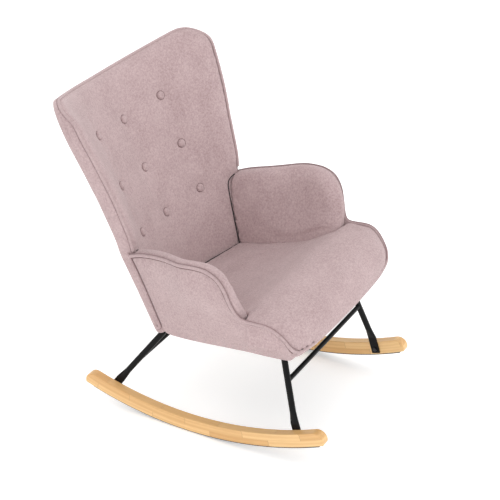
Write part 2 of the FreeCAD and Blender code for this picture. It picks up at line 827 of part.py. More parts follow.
def back_outline(inset):
    """A prism through the back that rounds its two top corners."""
    half = (WING[HALF] + CROWN[HALF]) / 2 - inset
    top = size("back_top") - inset
    bend = size("back_corner_round") - inset
    low = 0
    diagonal = bend * math.sqrt(0.5)
    profile = [(-half, low), (half, low), (half, top - bend), (half - bend, top)]
    profile += [(bend - half, top), (-half, top - bend)]
    mids = {2: (half - bend + diagonal, top - bend + diagonal)}
    mids[4] = (-half + bend - diagonal, top - bend + diagonal)

    def place(point):
        return Vector(point[0], 0, 0) + UP_BACK * point[1] - OFF_BACK * FAR

    edges = []
    for index, point in enumerate(profile):
        following = profile[(index + 1) % len(profile)]
        if index in mids:
            arc = Part.Arc(place(point), place(mids[index]), place(following))
            edges.append(arc.toShape())
        else:
            edges.append(Part.makeLine(place(point), place(following)))
    return Part.Face(Part.Wire(edges)).extrude(OFF_BACK * 2 * FAR)


def back_volume(front=0.0, rear=0.0, side=0.0, top=0.0, low=0.0, depth=None):
    """The back as one block, with insets; a negative inset makes it larger."""
    sections = [back_section(station, front, rear, side, depth) for station in BACK_STATIONS]
    block = Part.makeLoft(sections, True, True)
    return block.common(back_outline(top)).cut(level_slab(0, FOOT[HEIGHT] + low))


def level_slab(low, high):
    """All the space between two heights."""
    return Part.makeBox(2 * FAR, 2 * FAR, high - low, Vector(-FAR, -FAR, low))


cover = size("cover_thick")
skin = cover + fit
foam_rear = size("foam_depth")
frame_front = foam_rear + size("strap_thick") + 2 * fit
whole_back = back_volume()
clear_back = back_volume(-fit, -fit, -fit, -fit, -fit)


def front_height(across, height):
    """How far behind the origin the pad's front surface lies at a point."""
    line = Part.makeLine(Vector(across, -FAR, height), Vector(across, FAR, height))
    return min(vertex.Y for vertex in line.common(whole_back).Vertexes)


class Button:
    """One covered button: where it sits and which way it faces."""

    def __init__(self, column, row):
        rise = size("button_side_rise") if column else 0
        across = column * size("button_column")
        height = size("button_top") - row * size("button_pitch") + rise
        step = size("button_dia") / 4
        left = Vector(across - step, front_height(across - step, height), height)
        right = Vector(across + step, front_height(across + step, height), height)
        low = Vector(across, front_height(across, height - step), height - step)
        high = Vector(across, front_height(across, height + step), height + step)
        self.out = (right - left).cross(high - low).normalize()
        if self.out.y > 0:
            self.out = self.out * -1
        self.face = Vector(across, front_height(across, height), height)
        self.seat = self.face - self.out * size("back_crown")

    def rod(self, diameter, start, length):
        """A round bar along the button's axis; start is measured inward from the face."""
        return Part.makeCylinder(diameter / 2, length, self.face - self.out * start, self.out * -1)


buttons = [Button(column, row) for row in range(3) for column in (-1, 0, 1)]
well_dia = size("button_dia") + 2 * fit
wells = [button.rod(well_dia, -PAST, PAST + size("back_crown")) for button in buttons]
tie_holes = [button.rod(size("tie_dia") + 2 * fit, 0, 3 * PAST) for button in buttons]

back_front_skin = whole_back.cut(back_volume(cover, -2 * PAST, cover, cover, -PAST))
piping = size("piping_dia")
WELT_STATIONS_RISE = 200  # the piping moves toward the rear over each such rise above the shoulders
WELT_EDGE_SHIFT = 8
WELT_MIDDLE_SHIFT = 20


def welt_band(low, high):
    """The surface on which the piping runs, thickened: front limit to rear limit."""
    sections = []
    for height, half, edge, middle, *_ in BACK_STATIONS:
        rise = max(0, height - SHOULDER[HEIGHT]) / WELT_STATIONS_RISE
        wide = half + PAST
        flare = (middle - edge) * (wide / half) ** 2
        welt_edge = middle - flare + WELT_EDGE_SHIFT * rise
        welt_middle = middle + WELT_MIDDLE_SHIFT * rise
        front = rib_curve(wide, welt_edge + low, welt_middle + low, height)
        rear = rib_curve(wide, welt_edge + high, welt_middle + high, height)
        left = Part.makeLine(rear.Vertexes[0].Point, front.Vertexes[0].Point)
        right = Part.makeLine(front.Vertexes[-1].Point, rear.Vertexes[-1].Point)
        sections.append(Part.Wire([left, front, right, rear]))
    return Part.makeLoft(sections, True, True)


before_welt = welt_band(-300, 0)
behind_welt = welt_band(fit, 300)
foam = back_volume(skin, 0, skin, skin, skin, foam_rear - skin)
for hole in wells + tie_holes:
    foam = foam.cut(hole)
feature("back_foam", one_solid(foam))

front_cover = one_solid(back_front_skin.common(before_welt))
for hole in wells:
    front_cover = front_cover.cut(hole)
feature("back_inner_cover", one_solid(front_cover))

rear_skin = whole_back.cut(back_volume(-2 * PAST, cover, cover, cover, cover))
rear_skin = rear_skin.common(behind_welt)
feature("back_outer_cover", one_solid(rear_skin))

outside = -fit - piping
ring = back_volume(-2 * PAST, -2 * PAST, outside, outside)
ring = ring.cut(back_volume(-3 * PAST, -3 * PAST, -fit, -fit, -PAST))
ring = ring.common(welt_band(-piping / 2, piping / 2))
feature("back_piping", one_solid(ring.common(level_slab(size("back_piping_low"), FAR))))

wing_board = size("wing_board_thick")
board_rear = skin + 1
board_top_inset = skin + 14
framed = back_volume(frame_front, board_rear, skin, board_top_inset, skin)
inside = back_volume(-2 * PAST, -2 * PAST, skin + wing_board, -PAST, -PAST)
for name, side in (("left", 1), ("right", -1)):
    half_space = Part.makeBox(FAR, 2 * FAR, FAR, Vector(0 if side > 0 else -FAR, -FAR, 0))
    feature(f"wing_board_{name}", one_solid(framed.cut(inside).common(half_space)))

between = back_volume(
    frame_front, board_rear, skin + wing_board + fit, board_top_inset, skin
)
for name in ("top", "mid", "low"):
    height = size(f"{name}_rib_height")
    slab = level_slab(height - size("rib_thick") / 2, height + size("rib_thick") / 2)
    feature(f"back_rib_{name}", one_solid(between.common(slab)))

STRAP_COLUMNS = (-1.5, -1, -0.5, 0, 0.5, 1, 1.5)
strap_layer = back_volume(
    foam_rear + fit, 0, skin + 1.5 * wing_board, 0, 0, size("strap_thick")
)
strap_ends = (size("low_rib_height"), size("top_rib_height") + size("back_strap_top"))
strap_layer = strap_layer.common(level_slab(*strap_ends))
back_straps = []
for column in STRAP_COLUMNS:
    lane_start = column * size("button_column") - size("strap_width") / 2
    lane = Part.makeBox(size("strap_width"), 2 * FAR, FAR, Vector(lane_start, -FAR, 0))
    strap = strap_layer.common(lane)
    for hole in tie_holes:
        strap = strap.cut(hole)
    back_straps.append(one_solid(strap))
feature("back_webbing", Part.makeCompound(back_straps))


def button_shape(button):
    """A domed disc seated in the pad."""
    thick = size("button_thick")
    disc = Part.makeCylinder(size("button_dia") / 2, thick)
    rim = [edge for edge in disc.Edges if edge.BoundBox.ZMin > thick - 1]
    disc = disc.makeFillet(0.6 * thick, rim)
    disc.Placement = FreeCAD.Placement(button.seat, Rotation(Vector(0, 0, 1), button.out))
    return disc


feature("back_buttons", Part.makeCompound([button_shape(button) for button in buttons]))


def strap_rear(button):
    """Distance from the pad's face to the rear of the straps, along the button's axis."""
    line = button.rod(size("tie_dia"), 0, 3 * PAST).common(strap_layer)
    return max((button.face - vertex.Point).dot(button.out) for vertex in line.Vertexes)


ties = []
toggles = []
for button in buttons:
    end = strap_rear(button) + fit
    ties.append(button.rod(size("tie_dia"), size("back_crown"), end - size("back_crown")))
    toggles.append(button.rod(size("toggle_dia"), end, size("toggle_thick")))
feature("button_ties", Part.makeCompound(ties))
feature("button_toggles", Part.makeCompound(toggles))

# ---------------------------------------------------------------- cross rails
front = -size("frame_ahead")
rear = size("frame_behind") - size("rail_width")
cross_rail("seat_rail_front", front, 0, "sizes.rail_width", "sizes.rail_thick")
cross_rail(
    "seat_front_board", front, size("rail_thick"),
    "sizes.front_board_thick", "sizes.front_board_height",
)


def back_bolt_rods(diameter, start, stop):
    """Horizontal bars at the bolts that hold the back to the seat's rear rail."""
    rods = []
    for share in (-1, -0.5, 0.5, 1):
        foot = Vector(share * size("back_bolt_column"), start, size("back_bolt_height"))
        rods.append(Part.makeCylinder(diameter / 2, stop - start, foot, Vector(0, 1, 0)))
    return rods


bolt_hole = size("bolt_dia") + 2 * fit
shank_holes = Part.makeCompound(back_bolt_rods(bolt_hole, 0, FAR))
rail_face = frame_point(0, size("frame_behind"), 0).y
insert_start = rail_face - size("bolt_insert_depth")
insert_holes = Part.makeCompound(back_bolt_rods(size("nut_dia") + 2 * fit, insert_start, FAR))


def leg_bolt_places():
    """Across and along of each bolt that holds a leg plate, in the seat frame."""
    half_pitch = size("plate_hole_pitch") / 2
    places = []
    for side in (1, -1):
        for shift in (-half_pitch, half_pitch):
            across = size("side_rail_half") - size("rail_width") / 2
            places.append((side * across, size("front_plate_at") + shift))
            places.append((side * (size("rear_plate_half") + shift), size("rear_plate_at")))
    return places


nut_holes = [
    Part.makeCylinder(size("nut_dia") / 2 + fit, 2 * PAST, Vector(across, along, -PAST))
    for across, along in leg_bolt_places()
]
nut_holes = Part.makeCompound(nut_holes)
nut_holes.Placement = FRAME
cross_rail(
    "seat_rail_rear", rear, 0, "sizes.rail_width", "sizes.rail_thick",
    clear_back.fuse([insert_holes, nut_holes]),
)
doc.recompute()

# ---------------------------------------------------------------- arms
pad_front = arm_foot - size("arm_pad_front_gap")
straps_top = size("rail_thick") + 2 * size("strap_thick") + fit


def arm_outline(inset):
    """Outline of the padded part of an arm, down to the webbing."""
    lift = size("arm_dome") - inset
    low = size("frame_rise") + straps_top
    slope = math.tan(math.radians(tilt))
    rear_behind = arm_rear + PAST
    fall = (size("arm_nose_height") - size("arm_rear_height")) / (arm_rear - nose)
    return [
        (rear_behind, low - rear_behind * slope, 0),
        (rear_behind, size("arm_rear_height") + lift - PAST * fall, 0),
        (nose - lift * 0.7, size("arm_nose_height") + lift, size("arm_nose_round") + lift),
        (pad_front + inset, size("seat_side_height") + size("arm_pad_foot"), 10),
        (pad_front + inset, low - pad_front * slope, 0),
    ]


panel_prism = side_prism(PANEL_OUTLINE)
board_prism = side_prism(BOARD_OUTLINE)
pad_prism = side_prism(arm_outline(0))
core_prism = side_prism(arm_outline(cover))
foam_prism = side_prism(arm_outline(skin))
arm_inner = size("arm_thick")
welt_ring = side_prism(PANEL_OUTLINE, piping / 2).cut(side_prism(PANEL_OUTLINE, -piping / 2))
welt_low = size("seat_side_height") - size("seat_side_round")
welt_ring = welt_ring.common(level_slab(welt_low, FAR))
below_welt = size("arm_rear_height") - 2 * size("board_inset")
rear_strip = Part.makeBox(2 * FAR, FAR, below_welt, Vector(-FAR, 0, 0))
welt_ring = one_solid(welt_ring.cut(rear_strip))

behind_arms = side_prism([
    (low_rear, tub_floor(low_rear) - PAST, 0),
    (low_rear, tub_floor(low_rear), 0),
    (arm_rear, size("arm_rear_height"), 0),
    (arm_rear, size("arm_rear_height") + 2 * PAST, 0),
    (FAR, size("arm_rear_height") + 2 * PAST, 0),
    (FAR, tub_floor(low_rear) - PAST, 0),
])
behind_arms = behind_arms.cut(between_boards)

near_boards = []
for name, side in (("left", 1), ("right", -1)):
    panel = side_slab(side, 0, panel_inner).common(panel_prism)
    feature(f"arm_outer_panel_{name}", one_solid(panel))
    ply = side_slab(side, board_outer, board_inner).common(board_prism)
    feature(f"arm_board_{name}", one_solid(ply))
    behind_panel = side_slab(side, -PAST, board_inner + fit).common(panel_prism)
    near_board = side_slab(side, -PAST, board_inner + fit).common(side_prism(BOARD_OUTLINE, fit))
    near_boards.append(near_board)
    block = side_slab(side, board_outer, arm_inner).common(pad_prism)
    core = side_slab(side, board_outer + cover, arm_inner - cover).common(core_prism)
    shell = block.cut(core).cut(behind_panel).cut(behind_arms).cut(clear_back)
    feature(f"arm_inner_cover_{name}", one_solid(shell))
    stuffing = side_slab(side, board_outer + skin, arm_inner - skin).common(foam_prism)
    stuffing = stuffing.cut(near_board).cut(behind_arms).cut(clear_back)
    feature(f"arm_foam_{name}", one_solid(stuffing))
    welt = side_slab(side, -piping - fit, -fit).common(welt_ring).cut(clear_back)
    feature(f"arm_piping_{name}", one_solid(welt))


# ---------------------------------------------------------------- seat pad
# Half of the pad from the middle outward: distance across, share of the front reach, share of the
# crest height.
PAD_STATIONS = [(0, 1.0, 1.0)] + [
    tuple(size(f"pad_{station}_{name}") for name in ("half", "reach", "crest"))
    for station in ("flat", "turn", "corner", "side")
]


def pad_section(across, reach, crest, inset):
    """The seat pad cut lengthwise: level rear, dished seat, rounded crest and falling front."""
    face = -size("seat_front_ahead") * reach + inset
    top = size("seat_crest_height") * crest - inset
    rear = size("seat_rear")
    below = -size("seat_below_floor")
    rear_top = Vector(across, rear, size("seat_rear_height") - inset)
    dish = Vector(across, -size("seat_dish_ahead"), size("seat_dish_height") - inset)
    rise = Vector(across, face + size("seat_rise_behind"), top - size("seat_rise_drop"))
    crest_point = Vector(across, face + size("seat_nose_behind"), top - size("seat_nose_drop"))
    front_low = Vector(across, face, top - size("seat_face_drop"))
    front_foot = Vector(across, face + size("seat_face_lean"), tub_floor(face, below))
    rear_foot = Vector(across, rear, tub_floor(rear, below))
    edges = [
        Part.makeLine(rear_foot, rear_top),
        Part.Arc(rear_top, dish, rise).toShape(),
        Part.Arc(rise, crest_point, front_low).toShape(),
        Part.makeLine(front_low, front_foot),
        Part.makeLine(front_foot, rear_foot),
    ]
    return Part.Wire(edges)


def pad_volume(inset):
    stations = [(-across, *rest) for across, *rest in PAD_STATIONS[:0:-1]] + PAD_STATIONS
    return Part.makeLoft([pad_section(*station, inset) for station in stations], True, True)


before_arms = Part.makeBox(2 * FAR, FAR, FAR, Vector(-FAR, pad_front - fit - FAR, 0))
beside_arms = tub_inside(arm_inner + fit)
beside_panels = tub_inside(panel_inner + fit).common(before_arms)
seat_zone = beside_arms.fuse(beside_panels).cut(clear_back)
whole_pad = pad_volume(0).common(seat_zone)
pad_core = pad_volume(cover)
band = size("front_band")
skin_block = whole_pad.cut(pad_core)
feature("seat_cover", one_solid(skin_block.common(frame_slab(band, FAR))))
face_behind = toe + size("front_board_thick")
front_box = Part.makeBox(2 * FAR, FAR, FAR, Vector(-FAR, face_behind + PAST - FAR, 0))
band_block = skin_block.common(frame_slab(-1, band - fit))
feature("front_band", one_solid(band_block.common(front_box)))

board_face = -size("frame_ahead") - fit
near_front = Part.makeBox(
    2 * FAR,
    size("front_board_thick") + 2 * fit,
    size("rail_thick") + size("front_board_height") + fit,
    Vector(-FAR, board_face, 0),
)
near_front.Placement = FRAME
nose_box = Part.makeBox(2 * FAR, FAR, 3 * PAST, Vector(-FAR, board_face - FAR, fit))
nose_box.Placement = FRAME
seat_block = pad_volume(skin).common(seat_zone)
seat_foam = seat_block.common(frame_slab(straps_top, FAR)).cut(near_front)
seat_foam = seat_foam.fuse(seat_block.common(nose_box)).removeSplitter()
for near_board in near_boards:
    seat_foam = seat_foam.cut(near_board)
feature("seat_foam", one_solid(seat_foam))

front_ring = pad_volume(-piping - fit).cut(pad_volume(-fit))
front_ring = front_ring.common(tub_inside(panel_inner + fit))
front_ring = front_ring.common(frame_slab(band - piping / 2, band + piping / 2))
feature("front_piping", one_solid(front_ring.common(front_box)))

# ---------------------------------------------------------------- fasteners
head_radius = size("bolt_head_dia") / 2
shank_radius = size("bolt_dia") / 2


def bolt(head, aim, length):
    """A pan-headed bolt whose head's underside sits at a point."""
    cap = Part.makeCylinder(head_radius, size("bolt_head"), head, aim * -1)
    shank = Part.makeCylinder(shank_radius, length, head, aim)
    return cap.fuse(shank).removeSplitter()


def insert(start, aim, length):
    """A threaded sleeve with a plain bore."""
    outer = Part.makeCylinder(size("nut_dia") / 2, length, start, aim)
    return outer.cut(Part.makeCylinder(shank_radius + fit / 2, length, start, aim))


frame_up = FRAME.Rotation.multVec(Vector(0, 0, 1))
leg_bolts = []
leg_nuts = []
for across, along in leg_bolt_places():
    length = size("plate_thick") + size("dust_thick") + size("rail_thick")
    leg_bolts.append(bolt(frame_point(across, along, plate_low), frame_up, length))
    start = frame_point(across, along, size("rail_thick") - size("nut_length"))
    leg_nuts.append(insert(start, frame_up, size("nut_length")))
feature("leg_bolts", Part.makeCompound(leg_bolts))
feature("leg_bolt_inserts", Part.makeCompound(leg_nuts))

runner_bolts = []
runner_inserts = []
for side in (1, -1):
    outward = Vector(side, 0, 0)
    for along in (-size("front_foot_ahead"), size("rear_foot_behind")):
        foot = foot_point(side, along)
        head = foot - outward * (size("tab_thick") / 2)
        runner_bolts.append(bolt(head, outward, size("tab_thick") + size("nut_length")))
        start = Vector(side * size("runner_gap") / 2, foot.y, foot.z)
        runner_inserts.append(insert(start, outward, size("nut_length")))
feature("runner_bolts", Part.makeCompound(runner_bolts))
feature("runner_inserts", Part.makeCompound(runner_inserts))

rib_low = next(item for item in parts if item.Label == "back_rib_low")
back_bolts = []
back_inserts = []
head_wells = []
for rod in back_bolt_rods(size("bolt_dia"), 0, FAR):
    rear_face = max(vertex.Y for vertex in rod.common(rib_low.Shape).Vertexes)
    across = rod.BoundBox.Center.x
    sunk = rear_face - size("bolt_head") - size("back_bolt_sink")
    head = Vector(across, sunk, size("back_bolt_height"))
    back_bolts.append(bolt(head, Vector(0, -1, 0), head.y - insert_start))
    well = Part.makeCylinder(head_radius + 2 * fit, 2 * PAST, head, Vector(0, 1, 0))
    head_wells.append(well)
    start = Vector(across, insert_start, size("back_bolt_height"))
    back_inserts.append(insert(start, Vector(0, 1, 0), size("bolt_insert_depth") - 2))
feature("back_bolts", Part.makeCompound(back_bolts))
feature("back_inserts", Part.makeCompound(back_inserts))
rib_low.Shape = one_solid(rib_low.Shape.cut([shank_holes] + head_wells))
for item in parts:
    if item.Label in ("back_foam", "back_inner_cover"):
        item.Shape = one_solid(item.Shape.cut(shank_holes))

# ---------------------------------------------------------------- checks and files
doc.recompute()
for item in doc.Objects:
    if "Invalid" in item.State or "Error" in item.State:
        raise RuntimeError(f"{item.Label} failed: {item.State}")
for item in parts:
    if item.Shape.isNull() or not item.Shape.isValid():
        raise RuntimeError(f"{item.Label} has no valid shape")
os.makedirs("parts", exist_ok=True)
for item in parts:
    item.Shape.exportStep(f"parts/{item.Label}.step")
print(len(parts), "sub-parts")
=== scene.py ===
import json
import math

import bmesh
import bpy
import numpy as np
from mathutils import Matrix, Vector, noise


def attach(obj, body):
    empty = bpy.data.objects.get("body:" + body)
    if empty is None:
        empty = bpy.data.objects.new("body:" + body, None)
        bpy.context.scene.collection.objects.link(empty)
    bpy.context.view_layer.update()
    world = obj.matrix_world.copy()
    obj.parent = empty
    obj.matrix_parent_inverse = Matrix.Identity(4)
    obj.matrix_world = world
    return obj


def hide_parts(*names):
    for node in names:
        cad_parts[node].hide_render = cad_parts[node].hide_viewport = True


# Looks of the upholstered wing-back rocking chair, in metres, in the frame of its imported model:
# origin on the floor under the middle, +Z up, the sitter faces -Y, the sitter's left is +X.
# The tables further down are in millimetres and are turned into metres where a piece is made.

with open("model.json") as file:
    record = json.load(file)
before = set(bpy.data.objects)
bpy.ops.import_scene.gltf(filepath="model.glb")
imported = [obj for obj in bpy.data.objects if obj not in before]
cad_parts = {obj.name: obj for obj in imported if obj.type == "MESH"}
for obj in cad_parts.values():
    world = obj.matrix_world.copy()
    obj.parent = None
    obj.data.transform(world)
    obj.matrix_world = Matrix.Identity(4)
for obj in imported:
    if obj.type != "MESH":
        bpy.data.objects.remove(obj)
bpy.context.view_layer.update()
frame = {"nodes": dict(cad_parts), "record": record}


# ------------------------------------------------------------------ shader maths
class Amount:
    """A value that varies over a surface. Arithmetic on it adds Math nodes to its finish."""

    def __init__(self, finish, socket):
        self.finish = finish
        self.socket = socket

    def math(self, operation, *values):
        return self.finish.node("Math", {"operation": operation}, dict(enumerate(values)))

    def __add__(self, other):
        return self.math("ADD", self, other)

    def __sub__(self, other):
        return self.math("SUBTRACT", self, other)

    def __rsub__(self, other):
        return self.math("SUBTRACT", other, self)

    def __mul__(self, other):
        return self.math("MULTIPLY", self, other)

    def __truediv__(self, other):
        return self.math("DIVIDE", self, other)

    def __rtruediv__(self, other):
        return self.math("DIVIDE", other, self)

    def __pow__(self, other):
        return self.math("POWER", self, other)

    def __gt__(self, other):
        return self.math("GREATER_THAN", self, other)

    __radd__ = __add__
    __rmul__ = __mul__

    def clamped(self):
        return self.math("MINIMUM", self.math("MAXIMUM", self, 0.0), 1.0)


class Finish:
    """One material: a Principled shader and the nodes that vary it."""

    def __init__(self, name, **settings):
        self.material = bpy.data.materials.new(name)
        self.material.use_nodes = True
        self.tree = self.material.node_tree
        self.shader = self.tree.nodes["Principled BSDF"]
        for socket, value in settings.items():
            self.shader.inputs[socket.replace("_", " ")].default_value = value
        self.place = self.node("TexCoord", {}, {}, "Object")

    def node(self, kind, settings=None, inputs=None, output=0):
        made = self.tree.nodes.new("ShaderNode" + kind)
        for name, value in (settings or {}).items():
            if name == "stops":
                ramp = made.color_ramp
                while len(ramp.elements) < len(value):
                    ramp.elements.new(0.5)
                for element, (position, colour) in zip(ramp.elements, value):
                    element.position = position
                    element.color = (*colour, 1.0)
            else:
                setattr(made, name, value)
        for name, value in (inputs or {}).items():
            if isinstance(value, Amount):
                self.tree.links.new(value.socket, made.inputs[name])
            else:
                made.inputs[name].default_value = value
        return Amount(self, made.outputs[output])

    def part(self, vector, axis):
        return self.node("SeparateXYZ", {}, {0: vector}, axis)

    def joined(self, x, y, z):
        return self.node("CombineXYZ", {}, {0: x, 1: y, 2: z})

    def stretched(self, scale, vector=None):
        return self.node(
            "VectorMath", {"operation": "MULTIPLY"}, {0: vector or self.place, 1: scale}
        )

    def cloud(self, scale, detail=3.0, roughness=0.55, vector=None):
        return self.node(
            "TexNoise",
            {},
            {
                "Vector": vector or self.place,
                "Scale": scale,
                "Detail": detail,
                "Roughness": roughness,
            },
        )

    def mixed(self, amount, first, second):
        return self.node(
            "Mix", {"data_type": "RGBA"}, {0: amount, 6: first, 7: second}, 2
        )

    def feed(self, socket, value):
        self.tree.links.new(value.socket, self.shader.inputs[socket])

    def relief(self, height, depth, strength=1.0):
        bump = self.node(
            "Bump", {}, {"Strength": strength, "Distance": depth, "Height": height}, "Normal"
        )
        self.feed("Normal", bump)


def rgba(red, green, blue):
    """A solid colour as its shader socket takes it."""
    return (red, green, blue, 1.0)


# ------------------------------------------------------------------ finishes
def velour(name, light, dark, lift=1.0):
    """Short-nap upholstery velour: soft brushed patches, fine fibres and a faint ground weave."""
    cloth = Finish(
        name,
        Sheen_Weight=0.35,
        Sheen_Roughness=0.45,
        Sheen_Tint=rgba(1.0, 0.93, 0.92),
        Specular_IOR_Level=0.15,
    )
    brushed = cloth.cloud(13.0, 3.0, 0.55)
    nap = cloth.cloud(170.0, 4.0, 0.65)
    streaks = cloth.cloud(1.0, 3.0, 0.6, cloth.stretched((480.0, 480.0, 130.0)))
    fibres = cloth.cloud(1500.0, 2.0, 0.7)
    patches = (brushed - 0.5) * 0.75 + (nap - 0.5) * 2.0 + (streaks - 0.5) * 1.5
    tone = (patches * lift + (fibres - 0.5) * 0.8 + 0.5).clamped()
    cloth.feed("Base Color", cloth.mixed(tone, dark, light))
    cloth.feed("Roughness", (0.98 - tone * 0.14).clamped())
    thread_x = cloth.node(
        "TexWave", {"bands_direction": "X"}, {"Scale": 260.0, "Distortion": 2.0, "Detail": 1.0}, 1
    )
    thread_z = cloth.node(
        "TexWave", {"bands_direction": "Z"}, {"Scale": 260.0, "Distortion": 2.0, "Detail": 1.0}, 1
    )
    ground = thread_x * thread_z
    cloth.relief(nap * 0.9 + fibres * 0.6 + streaks * 0.5 + ground * 0.35, 0.0009, 0.55)
    return cloth.material


def runner_timber(name):
    """Finger-jointed light hardwood under satin varnish; the grain follows the bowed runner."""
    wood = Finish(name, Coat_Weight=0.25, Coat_Roughness=0.25, Specular_IOR_Level=0.45)
    across = wood.part(wood.place, 0)
    along = wood.part(wood.place, 1)
    height = wood.part(wood.place, 2)
    turn = wood.node("Math", {"operation": "ARCTAN2"}, {0: along, 1: 1.059 - height})
    length = turn * 1.03
    reach = wood.node(
        "Math", {"operation": "SQRT"}, {0: along ** 2.0 + (1.059 - height) ** 2.0}
    )
    row = wood.node("Math", {"operation": "FLOOR"}, {0: (reach - 1.014) / 0.0212})
    fingers = wood.node("Math", {"operation": "PINGPONG"}, {0: across * 1.0, 1: 0.003}) * 2.6
    place = (length + fingers) / 0.19 + row * 0.43 + (across > 0.0) * 0.31
    stave = wood.node("Math", {"operation": "FLOOR"}, {0: place})
    tone = wood.node(
        "TexWhiteNoise", {"noise_dimensions": "3D"}, {"Vector": wood.joined(stave, row, 1.0)}
    )
    shifted = wood.joined(across + tone * 0.7, length, reach + tone * 1.3)
    long_grain = wood.cloud(1.0, 5.0, 0.6, wood.stretched((190.0, 9.0, 190.0), shifted))
    pores = wood.cloud(1.0, 2.0, 0.6, wood.stretched((900.0, 45.0, 900.0), shifted))
    cathedral = wood.node(
        "TexWave",
        {"wave_type": "RINGS", "rings_direction": "Y"},
        {
            "Vector": wood.stretched((26.0, 1.6, 26.0), shifted),
            "Scale": 1.0,
            "Distortion": 5.0,
            "Detail": 2.0,
        },
        1,
    )
    figure = (long_grain * 0.75 + cathedral * 0.25 + (pores - 0.5) * 0.3).clamped()
    light = wood.mixed(tone, rgba(0.88, 0.6, 0.285), rgba(0.75, 0.445, 0.175))
    dark = wood.mixed(tone, rgba(0.64, 0.36, 0.135), rgba(0.52, 0.265, 0.083))
    colour = wood.mixed(figure, dark, light)
    edge = wood.node("Math", {"operation": "FRACT"}, {0: place})
    near = wood.node("Math", {"operation": "MINIMUM"}, {0: edge, 1: 1.0 - edge})
    joint = (1.0 - near / 0.006).clamped()
    wood.feed("Base Color", wood.mixed(joint * 0.55, colour, rgba(0.3, 0.15, 0.05)))
    wood.feed("Roughness", (0.5 - figure * 0.16).clamped())
    wood.relief(long_grain + pores * 0.6 - joint * 0.8, 0.0003, 0.35)
    return wood.material


def sawn_timber(name, light, dark, plies=0.0):
    """Raw timber of the frame, which the covers hide; plies adds the layers of plywood."""
    wood = Finish(name, Specular_IOR_Level=0.3)
    grain = wood.cloud(1.0, 5.0, 0.6, wood.stretched((12.0, 150.0, 150.0)))
    saw = wood.cloud(1.0, 2.0, 0.5, wood.stretched((420.0, 20.0, 60.0)))
    layer = wood.node("TexWave", {"bands_direction": "Y"}, {"Scale": 95.0, "Distortion": 0.4}, 1)
    tone = (grain * 0.8 + saw * 0.3 - layer * plies).clamped()
    wood.feed("Base Color", wood.mixed(tone, dark, light))
    wood.feed("Roughness", 0.85 - tone * 0.15)
    wood.relief(grain + saw * 0.5, 0.0005, 0.4)
    return wood.material


def coated_steel(name, colour, gloss, metallic=0.0, worn=rgba(0.2, 0.2, 0.21)):
    """Powder-coated or plated steel with a fine orange-peel skin and faint rubbed marks."""
    steel = Finish(name, Specular_IOR_Level=0.12, Metallic=metallic)
    peel = steel.cloud(750.0, 2.0, 0.5)
    rubbed = steel.cloud(38.0, 6.0, 0.7)
    marks = ((rubbed - 0.66) * 7.0).clamped()
    steel.feed("Base Color", steel.mixed(marks * 0.3, colour, worn))
    steel.feed("Roughness", (gloss + (rubbed - 0.5) * 0.16).clamped())
    steel.relief(peel, 0.00025, 0.3)
    return steel.material


def tread_rubber(name):
    """Matt black anti-slip strip, cross-ribbed and dusty."""
    rubber = Finish(name, Specular_IOR_Level=0.3)
    dust = rubber.cloud(130.0, 5.0, 0.65)
    ribs = rubber.node("TexWave", {"bands_direction": "Y"}, {"Scale": 60.0}, 1)
    rubber.feed("Base Color", rubber.mixed(dust, rgba(0.02, 0.018, 0.016), rgba(0.07, 0.062, 0.055)))
    rubber.feed("Roughness", 0.95 - dust * 0.2)
    rubber.relief(ribs + dust * 0.4, 0.0006, 0.5)
    return rubber.material


def woven_strap(name, dark, light, pitch):
    """Flat woven textile seen inside or under the seat."""
    strap = Finish(name, Specular_IOR_Level=0.2)
    warp = strap.node("TexWave", {"bands_direction": "X"}, {"Scale": pitch, "Distortion": 0.6}, 1)
    weft = strap.node("TexWave", {"bands_direction": "Y"}, {"Scale": pitch, "Distortion": 0.6}, 1)
    fuzz = strap.cloud(320.0, 4.0, 0.7)
    tone = (warp * 0.35 + weft * 0.35 + fuzz * 0.4).clamped()
    strap.feed("Base Color", strap.mixed(tone, dark, light))
    strap.feed("Roughness", 0.98 - tone * 0.12)
    strap.relief(warp * weft + fuzz * 0.5, 0.0007, 0.5)
    return strap.material


def moulded_plastic(name, colour):
    """Injection-moulded toggles behind the back's webbing."""
    plastic = Finish(name)
    grain = plastic.cloud(240.0, 3.0, 0.6)
    plastic.feed("Base Color", plastic.mixed(grain, colour, rgba(0.7, 0.7, 0.67)))
    plastic.feed("Roughness", 0.5 + grain * 0.15)
    plastic.relief(grain, 0.0002, 0.3)
    return plastic.material


